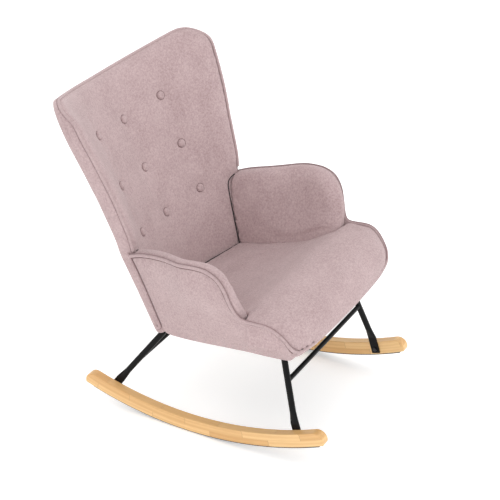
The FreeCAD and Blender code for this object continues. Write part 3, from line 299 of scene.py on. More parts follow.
finishes = {
    "upholstery": velour("dusty_rose_velour", rgba(0.55, 0.42, 0.422), rgba(0.372, 0.264, 0.268)),
    "piping_fabric": velour(
        "dusty_rose_piping", rgba(0.56, 0.43, 0.43), rgba(0.37, 0.265, 0.27), 0.7
    ),
    "runner_wood": runner_timber("varnished_runner_timber"),
    "rail_timber": sawn_timber("sawn_softwood", rgba(0.7, 0.52, 0.32), rgba(0.46, 0.3, 0.16)),
    "plywood": sawn_timber("sanded_plywood", rgba(0.72, 0.57, 0.38), rgba(0.5, 0.36, 0.21), 0.25),
    "black_steel": coated_steel(
        "black_powder_coat", rgba(0.006, 0.006, 0.0065), 0.3, 0.0, rgba(0.05, 0.05, 0.052)
    ),
    "zinc_steel": coated_steel(
        "blackened_fasteners", rgba(0.05, 0.05, 0.052), 0.34, 0.85, rgba(0.3, 0.3, 0.3)
    ),
    "strip_rubber": tread_rubber("runner_strip_rubber"),
    "webbing": woven_strap(
        "elastic_webbing", rgba(0.02, 0.02, 0.022), rgba(0.12, 0.12, 0.13), 320.0
    ),
    "dust_cloth": woven_strap(
        "black_dust_cloth", rgba(0.008, 0.008, 0.009), rgba(0.045, 0.045, 0.048), 480.0
    ),
    "twine": woven_strap("waxed_twine", rgba(0.6, 0.55, 0.45), rgba(0.8, 0.76, 0.68), 900.0),
    "toggle_plastic": moulded_plastic("toggle_plastic", rgba(0.82, 0.82, 0.8)),
    "foam": woven_strap("cushion_foam", rgba(0.7, 0.66, 0.5), rgba(0.86, 0.82, 0.68), 300.0),
}
# Darker copies of the same velour: painted shade where it is folded into a seam, and deeper painted
# shade where it is pulled into a tuck.
FOLD_SHADE_VELOUR = velour("rose_velour_painted_crease_shade", rgba(0.38, 0.26, 0.265), rgba(0.24, 0.155, 0.16), 0.6)
TUCK_SHADE_VELOUR = velour("rose_velour_painted_deep_crease_shade", rgba(0.24, 0.15, 0.15), rgba(0.13, 0.075, 0.077), 0.6)
for part in frame["record"]["subparts"]:
    node = frame["nodes"][part["node"]]
    node.data.materials.clear()
    node.data.materials.append(finishes[part["material_slot"]])


# ------------------------------------------------------------------ curves and meshes
MM = 0.001


def eased(table, at):
    """A smooth curve through the (place, value) rows of a table, read at many places."""
    table = sorted(table)
    place = np.array([row[0] for row in table], float)
    value = np.array([row[1] for row in table], float)
    step = np.diff(place)
    slope = np.diff(value) / step
    tangent = np.zeros(len(value))
    tangent[0], tangent[-1] = slope[0], slope[-1]
    for index in range(1, len(value) - 1):
        if slope[index - 1] * slope[index] > 0:
            weights = (
                2 * step[index] + step[index - 1],
                step[index] + 2 * step[index - 1],
            )
            tangent[index] = sum(weights) / (
                weights[0] / slope[index - 1] + weights[1] / slope[index]
            )
    at = np.asarray(at, float)
    inside = np.clip(at, place[0], place[-1])
    index = np.clip(np.searchsorted(place, inside) - 1, 0, len(step) - 1)
    share = (inside - place[index]) / step[index]
    first = (1 + 2 * share) * (1 - share) ** 2 * value[index]
    second = share * (1 - share) ** 2 * step[index] * tangent[index]
    third = share ** 2 * (3 - 2 * share) * value[index + 1]
    fourth = share ** 2 * (share - 1) * step[index] * tangent[index + 1]
    return first + second + third + fourth


def flowing(points, count):
    """The given points joined by a smooth line, as evenly spaced points."""
    points = np.array(points, float)
    ends = np.vstack([2 * points[0] - points[1], points, 2 * points[-1] - points[-2]])
    pieces = []
    for index in range(1, len(ends) - 2):
        before, start, stop, after = ends[index - 1 : index + 3]
        share = np.linspace(0, 1, 24, endpoint=False)[:, None]
        bend = 2 * before - 5 * start + 4 * stop - after
        curl = 3 * start - before - 3 * stop + after
        pieces.append(
            start + 0.5 * (share * (stop - before) + share ** 2 * bend + share ** 3 * curl)
        )
    line = np.vstack(pieces + [points[-1:]])
    travelled = np.concatenate([[0], np.cumsum(np.linalg.norm(np.diff(line, axis=0), axis=1))])
    wanted = np.linspace(0, travelled[-1], count)
    return np.stack([np.interp(wanted, travelled, line[:, axis]) for axis in range(line.shape[1])], 1)


def rising(low, high, value):
    """0 below low, 1 above high, with a soft step between."""
    share = np.clip((np.asarray(value, float) - low) / (high - low), 0, 1)
    return share * share * (3 - 2 * share)


def away_from(points, line):
    """Distance of each flat point from a line of points."""
    start, stop = line[:-1], line[1:]
    along = stop - start
    offset = points[:, None, :] - start[None]
    share = np.clip((offset * along).sum(2) / np.maximum((along ** 2).sum(1), 1e-9), 0, 1)
    return np.linalg.norm(offset - share[..., None] * along, axis=2).min(1)


def piece(name, points, faces, slot, smooth=True):
    """A new mesh object of the chair in one of its finishes."""
    mesh = bpy.data.meshes.new(name)
    mesh.from_pydata([tuple(point) for point in points], [], faces)
    mesh.validate()
    item = bpy.data.objects.new(name, mesh)
    bpy.context.scene.collection.objects.link(item)
    mesh.materials.append(finishes[slot])
    work = bmesh.new()
    work.from_mesh(mesh)
    bmesh.ops.remove_doubles(work, verts=work.verts, dist=1e-6)
    bmesh.ops.recalc_face_normals(work, faces=work.faces)
    work.to_mesh(mesh)
    work.free()
    mesh.polygons.foreach_set("use_smooth", [smooth] * len(mesh.polygons))
    return item


def grid_faces(rows, columns, start=0, around=False):
    """Four-cornered faces between the neighbours of a grid of points."""
    faces = []
    for row in range(rows - 1):
        for column in range(columns if around else columns - 1):
            after = (column + 1) % columns
            here = start + row * columns
            below = here + columns
            faces.append((here + column, here + after, below + after, below + column))
    return faces


def slab_piece(name, front, rear, slot):
    """A closed piece between two equal grids of points, joined round their borders."""
    rows, columns = front.shape[:2]
    faces = grid_faces(rows, columns)
    faces += grid_faces(rows, columns, rows * columns)
    rim = [(0, column) for column in range(columns)]
    rim += [(row, columns - 1) for row in range(1, rows)]
    rim += [(rows - 1, column) for column in range(columns - 2, -1, -1)]
    rim += [(row, 0) for row in range(rows - 2, 0, -1)]
    for first, second in zip(rim, rim[1:] + rim[:1]):
        one = first[0] * columns + first[1]
        two = second[0] * columns + second[1]
        faces.append((one, two, two + rows * columns, one + rows * columns))
    points = np.vstack([front.reshape(-1, 3), rear.reshape(-1, 3)])
    return piece(name, points, faces, slot)


def tube_rings(line, radius, sides, wobble=0.0):
    """Rings of points round a line, for a cord or tube."""
    line = np.asarray(line, float)
    tangents = np.gradient(line, axis=0)
    tangents /= np.linalg.norm(tangents, axis=1)[:, None]
    side = np.cross(tangents[0], (0.0, 0.0, 1.0))
    if np.linalg.norm(side) < 0.1:
        side = np.cross(tangents[0], (0.0, 1.0, 0.0))
    rings = []
    for index, (centre, along) in enumerate(zip(line, tangents)):
        side = side - along * side.dot(along)
        side /= np.linalg.norm(side)
        other = np.cross(along, side)
        size = radius
        if wobble:
            size = radius * (1 + wobble * noise.noise(Vector(centre) * 90.0))
        turns = np.linspace(0, 2 * math.pi, sides, endpoint=False)
        rings.append(
            centre + size * (np.cos(turns)[:, None] * side + np.sin(turns)[:, None] * other)
        )
    return np.array(rings)


def cord_piece(name, line, radius, slot, sides=12, wobble=0.06):
    """A fabric-covered cord along a line, its ends closed with rounded tips."""
    rings = tube_rings(line, radius, sides, wobble)
    count = len(rings)
    points = rings.reshape(-1, 3)
    faces = grid_faces(count, sides, 0, True)
    tips = []
    for ring, inward in ((0, 1), (count - 1, -1)):
        centre = rings[ring].mean(0)
        outward = centre - rings[ring + inward].mean(0)
        outward /= np.linalg.norm(outward)
        tips.append(centre + outward * radius * 0.7)
        base = ring * sides
        tip = count * sides + len(tips) - 1
        faces += [(base + side, base + (side + 1) % sides, tip) for side in range(sides)]
    return piece(name, np.vstack([points, tips]), faces, slot)


def changed(item, kind, **settings):
    """Applies one modifier to a piece at once."""
    modifier = item.modifiers.new(kind.title(), kind)
    for name, value in settings.items():
        setattr(modifier, name, value)
    graph = bpy.context.evaluated_depsgraph_get()
    mesh = bpy.data.meshes.new_from_object(item.evaluated_get(graph))
    item.modifiers.clear()
    old = item.data
    item.data = mesh
    bpy.data.meshes.remove(old)
    mesh.polygons.foreach_set("use_smooth", [True] * len(mesh.polygons))
    return item


def corners_of(item):
    """The places of a piece's mesh points."""
    flat = np.empty(len(item.data.vertices) * 3, np.float32)
    item.data.vertices.foreach_get("co", flat)
    return flat.reshape(-1, 3).astype(float)


def move_corners(item, points):
    """Puts a piece's mesh points in new places."""
    item.data.vertices.foreach_set("co", np.asarray(points, np.float32).ravel())
    item.data.update()


def swollen(item, held, cap, pressure=4.0, voxel=0.005, steps=20):
    """Lets a pad's cover puff out over its filling, and stay where it is sewn or pressed flat."""
    changed(item, "REMESH", mode="VOXEL", voxel_size=voxel, use_smooth_shade=True)
    start = corners_of(item)
    group = item.vertex_groups.new(name="held")
    for index, weight in enumerate(held(start / MM)):
        if weight > 0.01:
            group.add([index], float(weight), "REPLACE")
    cloth = item.modifiers.new("Cloth", "CLOTH")
    cloth.point_cache.frame_start = 1
    cloth.point_cache.frame_end = steps
    cloth.settings.vertex_group_mass = "held"
    cloth.settings.use_pressure = True
    cloth.settings.uniform_pressure_force = pressure
    cloth.settings.effector_weights.gravity = 0.0
    cloth.settings.quality = 4
    scene = bpy.context.scene
    for step in range(1, steps + 1):
        scene.frame_set(step)
    graph = bpy.context.evaluated_depsgraph_get()
    settled = np.array([tuple(point.co) for point in item.evaluated_get(graph).data.vertices])
    item.modifiers.clear()
    scene.frame_set(1)
    move = settled - start
    reach = np.linalg.norm(move, axis=1)[:, None]
    move_corners(item, start + move * np.minimum(1, cap / np.maximum(reach, 1e-9)))
    item.vertex_groups.clear()
    changed(item, "SMOOTH", factor=0.5, iterations=2)
    changed(item, "SUBSURF", levels=1)
    return item


def mirrored(points):
    """The same points on the chair's other side."""
    return np.asarray(points, float) * np.array([-1.0, 1.0, 1.0])


# ------------------------------------------------------------------ shape of the back
LEAN = math.radians(27)
BACK_FOOT = 333   # where the front cover ends, along the lean
CORNER = 62       # rounding of the outline's top corners

# Along the lean: half width to the piping, and how far the piping stands in front of the lean line.
EDGE_HALF = [
    (300, 255), (430, 274), (555, 292), (604, 299), (675, 309), (724, 316), (771, 326),
    (818, 335), (863, 343), (908, 350), (940, 353), (1030, 354),
]
EDGE_FRONT = [
    (300, 77), (430, 101), (555, 124), (604, 139), (675, 152), (724, 160), (771, 167),
    (818, 173), (863, 177), (908, 180), (940, 182), (1030, 183),
]
MIDDLE_FRONT = [
    (300, 6), (358, 15), (420, 27), (490, 39), (566, 45), (712, 42), (863, 45), (1030, 44),
]
EDGE_DEPTH = [
    (300, 34), (355, 36), (432, 39), (500, 42), (574, 47), (630, 49), (728, 51), (866, 50),
    (1000, 46), (1030, 44),
]
MIDDLE_DEPTH = [
    (300, 65), (360, 66), (400, 65), (480, 61), (555, 59), (770, 55), (814, 54), (955, 46.5),
    (1030, 44),
]
BUTTONS = [
    (0, 863.3), (162, 869.7), (0, 712.1), (161, 714.6), (0, 565.9), (159, 569.2),
]
BUTTON_SPOTS = [(side * x, s) for x, s in BUTTONS for side in ((1, -1) if x else (1,))]


def back_point(x, s, t):
    """From across, along the lean and out of it, in millimetres, to the chair's frame."""
    x, s, t = np.broadcast_arrays(x, s, t)
    behind = s * math.sin(LEAN) - t * math.cos(LEAN)
    height = s * math.cos(LEAN) + t * math.sin(LEAN)
    return np.stack([x, behind, height], -1) * MM


def top_edge(x):
    return 1007.0 + 10.5 * np.minimum(np.abs(x) / 290, 1) ** 1.6


def back_surface(x, s):
    """The back's front surface at the buttons, before the padding stands out from it."""
    half = eased(EDGE_HALF, s)
    middle = eased(MIDDLE_FRONT, s)
    bend = (eased(EDGE_FRONT, s) - middle) / half ** 2
    return middle + bend * np.asarray(x, float) ** 2


def back_domain(rows, columns, low, inset=0.0):
    """A grid of across and along places that fills the back's outline, up to its rounded corners."""
    up = 1 - (1 - np.linspace(0, 1, rows)) ** 1.6
    nominal = low + (1020 - low) * up
    half = eased(EDGE_HALF, nominal)
    over = np.clip((nominal - (1020 - CORNER)) / CORNER, 0, 1)
    half = half - CORNER * (1 - np.sqrt(1 - over ** 2)) - inset
    across = np.sin(np.linspace(-1, 1, columns) * math.pi / 2 * 0.86) / math.sin(math.pi / 2 * 0.86)
    x = half[:, None] * across[None]
    s = low + (top_edge(x) - inset - low) * up[:, None]
    return x, s


def back_rim(x, s):
    """The outline's side, top and other side, as one line of across and along places."""
    left = np.stack([x[:, 0], s[:, 0]], 1)
    top = np.stack([x[-1], s[-1]], 1)
    right = np.stack([x[:, -1], s[:, -1]], 1)[::-1]
    return np.vstack([left, top[1:-1], right])


def rim_drop(s):
    """How far behind the front surface the piping runs: not at the sides, well behind on top."""
    return 23 * rising(942, 1004, s)


def padded_back(x, s, plump):
    rim = back_rim(x, s)
    flat = np.stack([x.ravel(), s.ravel()], 1)
    gap = away_from(flat, rim).reshape(x.shape)
    surface = back_surface(x, s)
    reach = 27 + 16 * rising(950, 1000, s)
    roll = 1 - np.sqrt(np.clip(1 - (1 - np.clip(gap / reach, 0, 1)) ** 2, 0, 1))
    shoulder = np.sqrt(np.clip(1 - (1 - np.clip(gap / 42, 0, 1)) ** 2, 0, 1))
    fullness = (0.45 + 0.55 * rising(345, 500, s)) * (1 - 0.6 * rising(930, 1000, s))
    height = surface - rim_drop(s) * roll + plump * shoulder * fullness
    side_gap = eased(EDGE_HALF, s) - np.abs(x)
    bolster = np.sqrt(np.clip(1 - (1 - np.clip((side_gap - 7) / 38, 0, 1)) ** 2, 0, 1))
    bolster *= (1 - rising(36, 96, side_gap)) * (1 - rising(935, 990, s)) * rising(530, 600, s)
    height += 15 * bolster
    for across, along in BUTTON_SPOTS:
        spread = np.hypot(x - across, s - along)
        height -= (plump + 3.5) * np.exp(-(spread / 21) ** 2)
    return height


# ------------------------------------------------------------------ the back's pieces
def build_back_pad():
    x, s = back_domain(110, 130, BACK_FOOT)
    front = padded_back(x, s, 5.0)
    rear = back_surface(x, s) - rim_drop(s) - 10
    inner_x = x * (1 - 5 / 350)
    inner_s = s - 3 * rising(950, 1020, s)
    pad = slab_piece(
        "back_pad", back_point(x, s, front), back_point(inner_x, inner_s, rear), "upholstery"
    )
    rim = back_rim(x, s)

    def held(points):
        along = points[:, 1] * math.sin(LEAN) + points[:, 2] * math.cos(LEAN)
        out = points[:, 2] * math.sin(LEAN) - points[:, 1] * math.cos(LEAN)
        flat = np.stack([points[:, 0], along], 1)
        loose = rising(9, 30, away_from(flat, rim)) * rising(BACK_FOOT + 4, BACK_FOOT + 30, along)
        loose *= rising(-9, -5, out - back_surface(points[:, 0], along))
        for spot in BUTTON_SPOTS:
            loose *= rising(10, 24, np.linalg.norm(flat - spot, axis=1))
        return 1 - loose

    swollen(pad, held, 0.009)
    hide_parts("back_foam", "back_inner_cover")
    return pad


def build_back_shell():
    """Rear cover: the wings' side faces and the curved rear, one skin over the frame."""
    rows, columns = 84, 96
    x, s = back_domain(rows, columns, 304, 4)
    depth_edge = eased(EDGE_DEPTH, s)
    depth_middle = eased(MIDDLE_DEPTH, s)
    half = eased(EDGE_HALF, s)
    share = np.clip(np.abs(x) / half, 0, 1) ** 2
    rear = back_surface(x, s) - (depth_middle + (depth_edge - depth_middle) * share) - 1.5
    outer_x, outer_s = back_domain(rows, columns, 300, 0)
    rim = back_rim(outer_x, outer_s)
    rim_front = back_surface(rim[:, 0], rim[:, 1]) - rim_drop(rim[:, 1])
    grid = back_point(x, s, rear)
    rim_half = eased(EDGE_HALF, rim[:, 1])
    rim_share = np.clip(np.abs(rim[:, 0]) / rim_half, 0, 1) ** 2
    rim_depth = eased(MIDDLE_DEPTH, rim[:, 1])
    rim_depth = rim_depth + (eased(EDGE_DEPTH, rim[:, 1]) - rim_depth) * rim_share
    rim_rear = back_surface(rim[:, 0], rim[:, 1]) - rim_depth + 3
    walls = []
    centre = np.array([0.0, 700.0])
    outward = rim - centre
    outward /= np.linalg.norm(outward, axis=1)[:, None]
    for share in np.linspace(0, 1, 9)[::-1]:
        puff = 2.6 * math.sin(math.pi * share) + 0.6 + 1.8 * rising(0, 0.2, share)
        spot = rim + outward * puff
        walls.append(back_point(spot[:, 0], spot[:, 1], rim_front + (rim_rear - rim_front) * share))
    points = [grid.reshape(-1, 3)]
    faces = grid_faces(rows, columns)
    rim_index = [row * columns for row in range(rows)]
    rim_index += [(rows - 1) * columns + column for column in range(1, columns - 1)]
    rim_index += [row * columns + columns - 1 for row in range(rows - 1, -1, -1)]
    start = rows * columns
    count = len(rim)
    for index in range(count - 1):
        faces.append((rim_index[index], rim_index[index + 1], start + index + 1, start + index))
    for loop in walls:
        points.append(loop)
    faces += grid_faces(len(walls), count, start)
    shell = piece("back_rear_cover", np.vstack(points), faces, "upholstery")
    changed(shell, "SOLIDIFY", thickness=0.0024, offset=-1.0)
    changed(shell, "SUBSURF", levels=1)
    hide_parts("back_outer_cover")
    return shell


def build_back_piping():
    x, s = back_domain(240, 60, 560)
    rim = back_rim(x, s)
    line = back_point(rim[:, 0], rim[:, 1], back_surface(rim[:, 0], rim[:, 1]) - rim_drop(rim[:, 1]) + 1)
    cord = cord_piece("back_welt", flowing(line[::6], 420), 0.0042, "piping_fabric")
    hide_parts("back_piping")
    return cord


def build_back_welt_shade_lines():
    """Thin darker velour cords on both sides of the back's piping: painted shade of the tight folds
    there.
    """
    made = []
    for label, inset, stand in (("shell", -2.6, -5.6), ("pad", 5.8, 4.0)):
        x, s = back_domain(240, 60, 560, inset)
        rim = back_rim(x, s)
        drop = rim_drop(rim[:, 1] + inset)
        line = back_point(rim[:, 0], rim[:, 1], back_surface(rim[:, 0], rim[:, 1]) - drop + stand)
        cord = cord_piece(f"back_welt_shade_{label}", flowing(line[::6], 420), 0.0008, "piping_fabric", 6, 0.0)
        # The cord's darker velour is painted crease shade.
        cord.data.materials[0] = FOLD_SHADE_VELOUR
        made.append(cord)
    return made


def build_buttons():
    """Nine covered buttons: a flattened dome that turns in at the rim, with a gathered edge."""
    profile = [
        (0.0, 6.6), (4.0, 6.4), (7.5, 5.7), (10.2, 4.3), (11.9, 2.2), (12.4, -0.6), (11.6, -3.2),
        (8.0, -4.6), (0.0, -4.8),
    ]
    sides = 40
    points, faces = [], []
    for across, along in BUTTON_SPOTS:
        base = float(back_surface(across, along))
        step = 4.0
        right = back_point(across + step, along, back_surface(across + step, along)) - back_point(
            across - step, along, back_surface(across - step, along)
        )
        up = back_point(across, along + step, back_surface(across, along + step)) - back_point(
            across, along - step, back_surface(across, along - step)
        )
        right = right / np.linalg.norm(right)
        out = np.cross(right, up)
        out /= np.linalg.norm(out)
        if out[1] > 0:
            out = -out
        up = np.cross(out, right)
        centre = back_point(across, along, base)
        first = len(points)
        for radius, height in profile:
            for side in range(sides):
                turn = 2 * math.pi * side / sides
                ripple = 1 + 0.012 * math.sin(turn * 13) * (radius > 8)
                offset = right * math.cos(turn) + up * math.sin(turn)
                points.append(centre + offset * radius * ripple * MM + out * height * MM)
        faces += grid_faces(len(profile), sides, first, True)
    buttons = piece("covered_buttons", points, faces, "upholstery")
    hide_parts("back_buttons")
    return buttons


def build_button_shade_rings():
    """A thin dark velour ring round each button: painted shade of the tight fold where the cover is
    gathered in.
    """
    points, faces = [], []
    sides, section = 48, 8
    turns = np.linspace(0, 2 * math.pi, sides, endpoint=False)
    for across, along in BUTTON_SPOTS:
        x, s = across + 12.9 * np.cos(turns), along + 12.9 * np.sin(turns)
        ring = back_point(x, s, back_surface(x, s) - 0.6 + 0.3 * np.sin(turns * 9)) / MM
        for index in range(sides):
            out = ring[index] - ring.mean(0)
            out /= np.linalg.norm(out)
            lift = np.array([0.0, -math.cos(LEAN), math.sin(LEAN)])
            for turn in np.linspace(0, 2 * math.pi, section, endpoint=False):
                points.append(ring[index] + 0.9 * (out * math.cos(turn) + lift * 1.3 * math.sin(turn)))
        start = len(points) - sides * section
        for index in range(sides):
            after = (index + 1) % sides
            for side in range(section):
                turn = (side + 1) % section
                faces.append((start + index * section + side, start + index * section + turn,
                              start + after * section + turn, start + after * section + side))
    shade_rings = piece("button_shade_rings", np.array(points) * MM, faces, "upholstery")
    # The ring's dark velour is painted crease shade.
    shade_rings.data.materials[0] = TUCK_SHADE_VELOUR
    return shade_rings


# ------------------------------------------------------------------ shape of the tub
# Outer face of the sides: half width by height, at the rear edge and at the arm's front.
REAR_FLARE = [
    (290, 263), (322, 267), (379, 273), (435, 280), (497, 290), (546, 300), (620, 308),
]
FRONT_FLARE = [
    (290, 266), (320, 275), (454, 320), (496, 337), (520, 343), (543, 347), (570, 350),
    (600, 352), (640, 352),
]
FLARE_SHARE = [
    (-400, 1), (-68, 1), (-40, 0.93), (-8, 0.68), (24, 0.43), (54, 0.26), (82, 0.15),
    (113, 0.06), (150, 0),
]
# Piping from the rear of the arm, over its nose and along the seat side to the front corner.
ARM_WELT = [
    (147, 543), (113, 556.5), (82, 565), (54, 571), (24, 577), (-8, 583), (-40, 589), (-68, 594),
    (-92, 596), (-115, 595.5), (-136, 590), (-155, 579), (-168, 563), (-178, 543), (-185, 520),
    (-192, 496), (-200, 474), (-212, 459), (-228, 455), (-250, 456), (-270, 457.5), (-288, 457),
    (-306, 451), (-324, 438), (-339, 421), (-349, 406), (-356, 394), (-361, 386),
]
# Seam between the side panel and the rear cover, rounded at its foot.
TUB_SEAM = [
    (150, 549), (143, 532), (128, 487), (109, 430), (91, 375), (78, 335), (74, 321), (78, 311),
    (89, 306),
]
PANEL_FLOOR = [
    (71, 316), (53, 302), (2, 304), (-50, 310.5), (-118, 319.5), (-216, 332.5), (-290, 343),
    (-322, 347.5), (-342, 352.5), (-353, 361), (-361, 374),
]
ARM_TOP = [
    (152, 541), (141, 551.5), (113, 562), (82, 571), (54, 577), (24, 583), (-8, 589),
    (-40, 595.5), (-68, 601), (-94, 603.5), (-116, 603), (-139, 597), (-159.5, 584), (-175, 567),
    (-187, 545.5), (-196, 522), (-203, 499), (-208, 478), (-211, 458), (-212, 436), (-212, 415),
]


def tub_half(behind, height):
    """Half width of the chair's outer sides at a place in the side view."""
    share = eased(FLARE_SHARE, behind)
    half = eased(REAR_FLARE, height) * (1 - share) + eased(FRONT_FLARE, height) * share
    half = half + 5 * rising(-190, -300, behind) * (1 - rising(380, 440, height))
    return half - 22 * rising(-346, -372, behind) ** 1.5


SEAT_SIDE = [
    (158, 350), (128, 350), (53, 361), (-50, 382), (-118, 402), (-170, 430), (-215, 453), (-260, 466),
]


def seat_line(behind):
    """Height of the seat beside the arms."""
    return eased(SEAT_SIDE, behind)


def back_reach(x, height):
    """How far behind the origin the padded back stands at a place in the front view."""
    s = np.full(np.shape(height), 360.0)
    for _ in range(12):
        t = back_surface(x, s) + 6
        s = (height - t * math.sin(LEAN)) / math.cos(LEAN)
    return s * math.sin(LEAN) - t * math.cos(LEAN)


def build_arm_pad(side, name):
    """Foam-padded arm: flat against its panel, rounded over the top and the nose."""
    dome = flowing(ARM_TOP, 140)
    dome[0] = dome[0] + (dome[0] - dome[1]) * 4
    base = [(-190.0, 395.0), (-120.0, 365.0), (-50.0, 345.0), (50.0, 322.0), (118.0, 305.0)]
    rear = [(150.0, 380.0), (182.0, 470.0)]
    outline = np.vstack([dome, base, rear])
    outline = np.vstack([outline, outline[:1]])
    travelled = np.concatenate([[0], np.cumsum(np.linalg.norm(np.diff(outline, axis=0), axis=1))])
    wanted = np.linspace(0, travelled[-1], 220, endpoint=False)
    loop = np.stack([np.interp(wanted, travelled, outline[:, axis]) for axis in (0, 1)], 1)
    centre = np.array([-30.0, 440.0])
    shares = np.sin(np.linspace(0, 1, 46) * math.pi / 2)[1:]
    spots = centre + shares[:, None, None] * (loop - centre)[None]
    flat = spots.reshape(-1, 2)
    gap = away_from(flat, dome).reshape(spots.shape[:2])
    thick = 24.5
    full = np.sqrt(np.clip(1 - (1 - np.clip(gap / 27, 0, 1)) ** 2, 0, 1))
    behind, height = spots[..., 0], spots[..., 1]
    middle = tub_half(behind, height) - thick - 0.5
    face = rising(20, 90, gap) * 5
    outer = middle + thick * full ** 0.35 - 7 * rising(15, 24, gap)
    inner = middle - thick * full - face
    centre_half = float(tub_half(centre[0], centre[1]))
    points, faces = [], []
    rows, columns = spots.shape[:2]
    low_seam = height - seat_line(behind)
    pucker = np.sin(behind * 0.36 + 0.9 * np.sin(behind * 0.11)) * rising(-150, 60, behind)
    inner = inner + 1.1 * pucker * (1 - rising(2, 42, low_seam)) * rising(30, 60, gap)
    for half in (inner, outer):
        reach = np.minimum(behind, back_reach(half, height) - 3.0 + 18 * rising(282, 296, half))
        points.append(np.stack([half * side, reach, height], -1).reshape(-1, 3))
    tips = [
        [side * (centre_half - 2 * thick - 5.5), centre[0], centre[1]],
        [side * (centre_half - 7.5), centre[0], centre[1]],
    ]
    total = rows * columns
    faces += grid_faces(rows, columns, 0, True) + grid_faces(rows, columns, total, True)
    for column in range(columns):
        after = (column + 1) % columns
        faces.append((2 * total, column, after))
        faces.append((2 * total + 1, total + column, total + after))
        last = (rows - 1) * columns
        faces.append((last + column, last + after, total + last + after, total + last + column))
    pad = piece(f"arm_pad_{name}", np.vstack(points + [tips]) * MM, faces, "upholstery")

    def held(spots):
        flat = spots[:, 1:]
        depth = tub_half(flat[:, 0], flat[:, 1]) - side * spots[:, 0]
        loose = rising(22, 34, depth) * rising(4, 20, flat[:, 1] - seat_line(flat[:, 0]))
        return 1 - loose * rising(4, 24, back_reach(spots[:, 0], flat[:, 1]) - flat[:, 0])

    swollen(pad, held, 0.004)
    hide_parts(f"arm_foam_{name}", f"arm_inner_cover_{name}")
    return pad


def build_arm_panel(side, name):
    """Outer panel: fabric drawn tight over thin wadding, with its rear edge turned in."""
    columns, rows = 150, 44
    upper = flowing(ARM_WELT, columns)
    lower = flowing(PANEL_FLOOR, columns)
    upper_behind = upper[:, 0]
    # The lower edge is read at the place below each upper point, leaning with the rear edge.
    wanted = upper_behind - 70 * np.clip((upper_behind + 60) / 205, 0, 1) ** 1.3
    wanted = np.minimum.accumulate(np.clip(wanted, -361, 71))
    wanted = wanted - np.linspace(0, 0.01, columns)
    order = np.argsort(lower[:, 0])
    low_height = np.interp(wanted, lower[order, 0], lower[order, 1])
    shares = (1 - np.cos(np.linspace(0, math.pi, rows))) / 2
    top = np.stack([upper[:, 0], upper[:, 1]], 1)
    bottom = np.stack([wanted, low_height], 1)
    spots = top[None] + shares[:, None, None] * (bottom - top)[None]
    sewn = np.vstack([spots[::-1, 0], spots[0], spots[:, -1]])
    flat = spots.reshape(-1, 2)
    gap = away_from(flat, sewn).reshape(spots.shape[:2])
    low_gap = away_from(flat, spots[-1]).reshape(spots.shape[:2])
    half = tub_half(spots[..., 0], spots[..., 1])
    tuck = 1 - np.sqrt(np.clip(1 - (1 - np.clip(gap / 6, 0, 1)) ** 2, 0, 1))
    puff = 3.0 * rising(0, 60, np.minimum(gap, low_gap + 18)) - 3.2 * tuck * rising(0, 12, low_gap)
    outer = np.stack([side * (half + puff), spots[..., 0], spots[..., 1]], -1)
    inner = np.stack([side * (half - 2.6), spots[..., 0], spots[..., 1]], -1)
    turned = [(1.4, -1.2), (4.5, -2.0), (9.0, -1.6), (15.0, 0.2), (22.0, 2.4)]
    foot = np.stack([half[-1] + puff[-1], spots[-1, :, 0], spots[-1, :, 1]], -1)
    under = np.array([foot + (-inward, 0.0, drop) for inward, drop in turned])
    above = under + (-0.4, 0.0, 2.0)
    under[..., 0] *= side
    above[..., 0] *= side
    outer = np.vstack([outer, under]) * MM
    inner = np.vstack([inner, above]) * MM
    panel = slab_piece(f"arm_side_panel_{name}", outer, inner, "upholstery")
    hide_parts(f"arm_outer_panel_{name}")
    return panel


def build_arm_piping(side, name):
    path = flowing(ARM_WELT, 260)
    half = tub_half(path[:, 0], path[:, 1]) + 1.0
    line = np.stack([side * half, path[:, 0], path[:, 1]], 1) * MM
    cord = cord_piece(f"arm_welt_{name}", line, 0.0046, "piping_fabric")
    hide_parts(f"arm_piping_{name}")
    return cord


def beside(path, step):
    """A flat line moved sideways by a step, to the right of its direction."""
    along = np.gradient(path, axis=0)
    along /= np.linalg.norm(along, axis=1)[:, None]
    return path + np.stack([along[:, 1], -along[:, 0]], 1) * step


def build_arm_welt_shade_lines(side, name):
    """Thin darker velour cords along both sides of the arm's piping, where the covers are sewn to it:
    painted shade of the tight folds there.
    """
    path = flowing(ARM_WELT, 260)
    made = []
    for label, step, stand in (("outer", -6.7, 0.8), ("upper", 5.4, -1.4)):
        spots = beside(path, step)
        half = tub_half(spots[:, 0], spots[:, 1]) + stand
        line = np.stack([side * half, spots[:, 0], spots[:, 1]], 1) * MM
        cord = cord_piece(f"arm_welt_shade_{label}_{name}", line, 0.0012, "piping_fabric", 6, 0.0)
        # Both cords' darker velour is painted crease shade, darkest on the outer side.
        cord.data.materials[0] = TUCK_SHADE_VELOUR if label == "outer" else FOLD_SHADE_VELOUR
        made.append(cord)
    return made


def build_tub_seam(side, name):
    """Rolled rear edge of the tub's side, with a thin darker velour cord where the panel meets it:
    painted shade of the tight fold there.
    """
    path = flowing(TUB_SEAM, 160)
    made = []
    for label, step, stand, radius in (("roll", 5.2, -0.6, 4.6), ("fold", 0.0, 0.7, 1.2)):
        spots = beside(path, -step)
        half = tub_half(spots[:, 0], spots[:, 1]) + stand
        line = np.stack([side * half, spots[:, 0], spots[:, 1]], 1) * MM
        cord = cord_piece(f"tub_seam_{label}_{name}", line, radius * MM, "upholstery", 12, 0.0)
        # The fold cord's darker velour is painted crease shade.
        if label == "fold":
            cord.data.materials[0] = FOLD_SHADE_VELOUR
        made.append(cord)
    return made


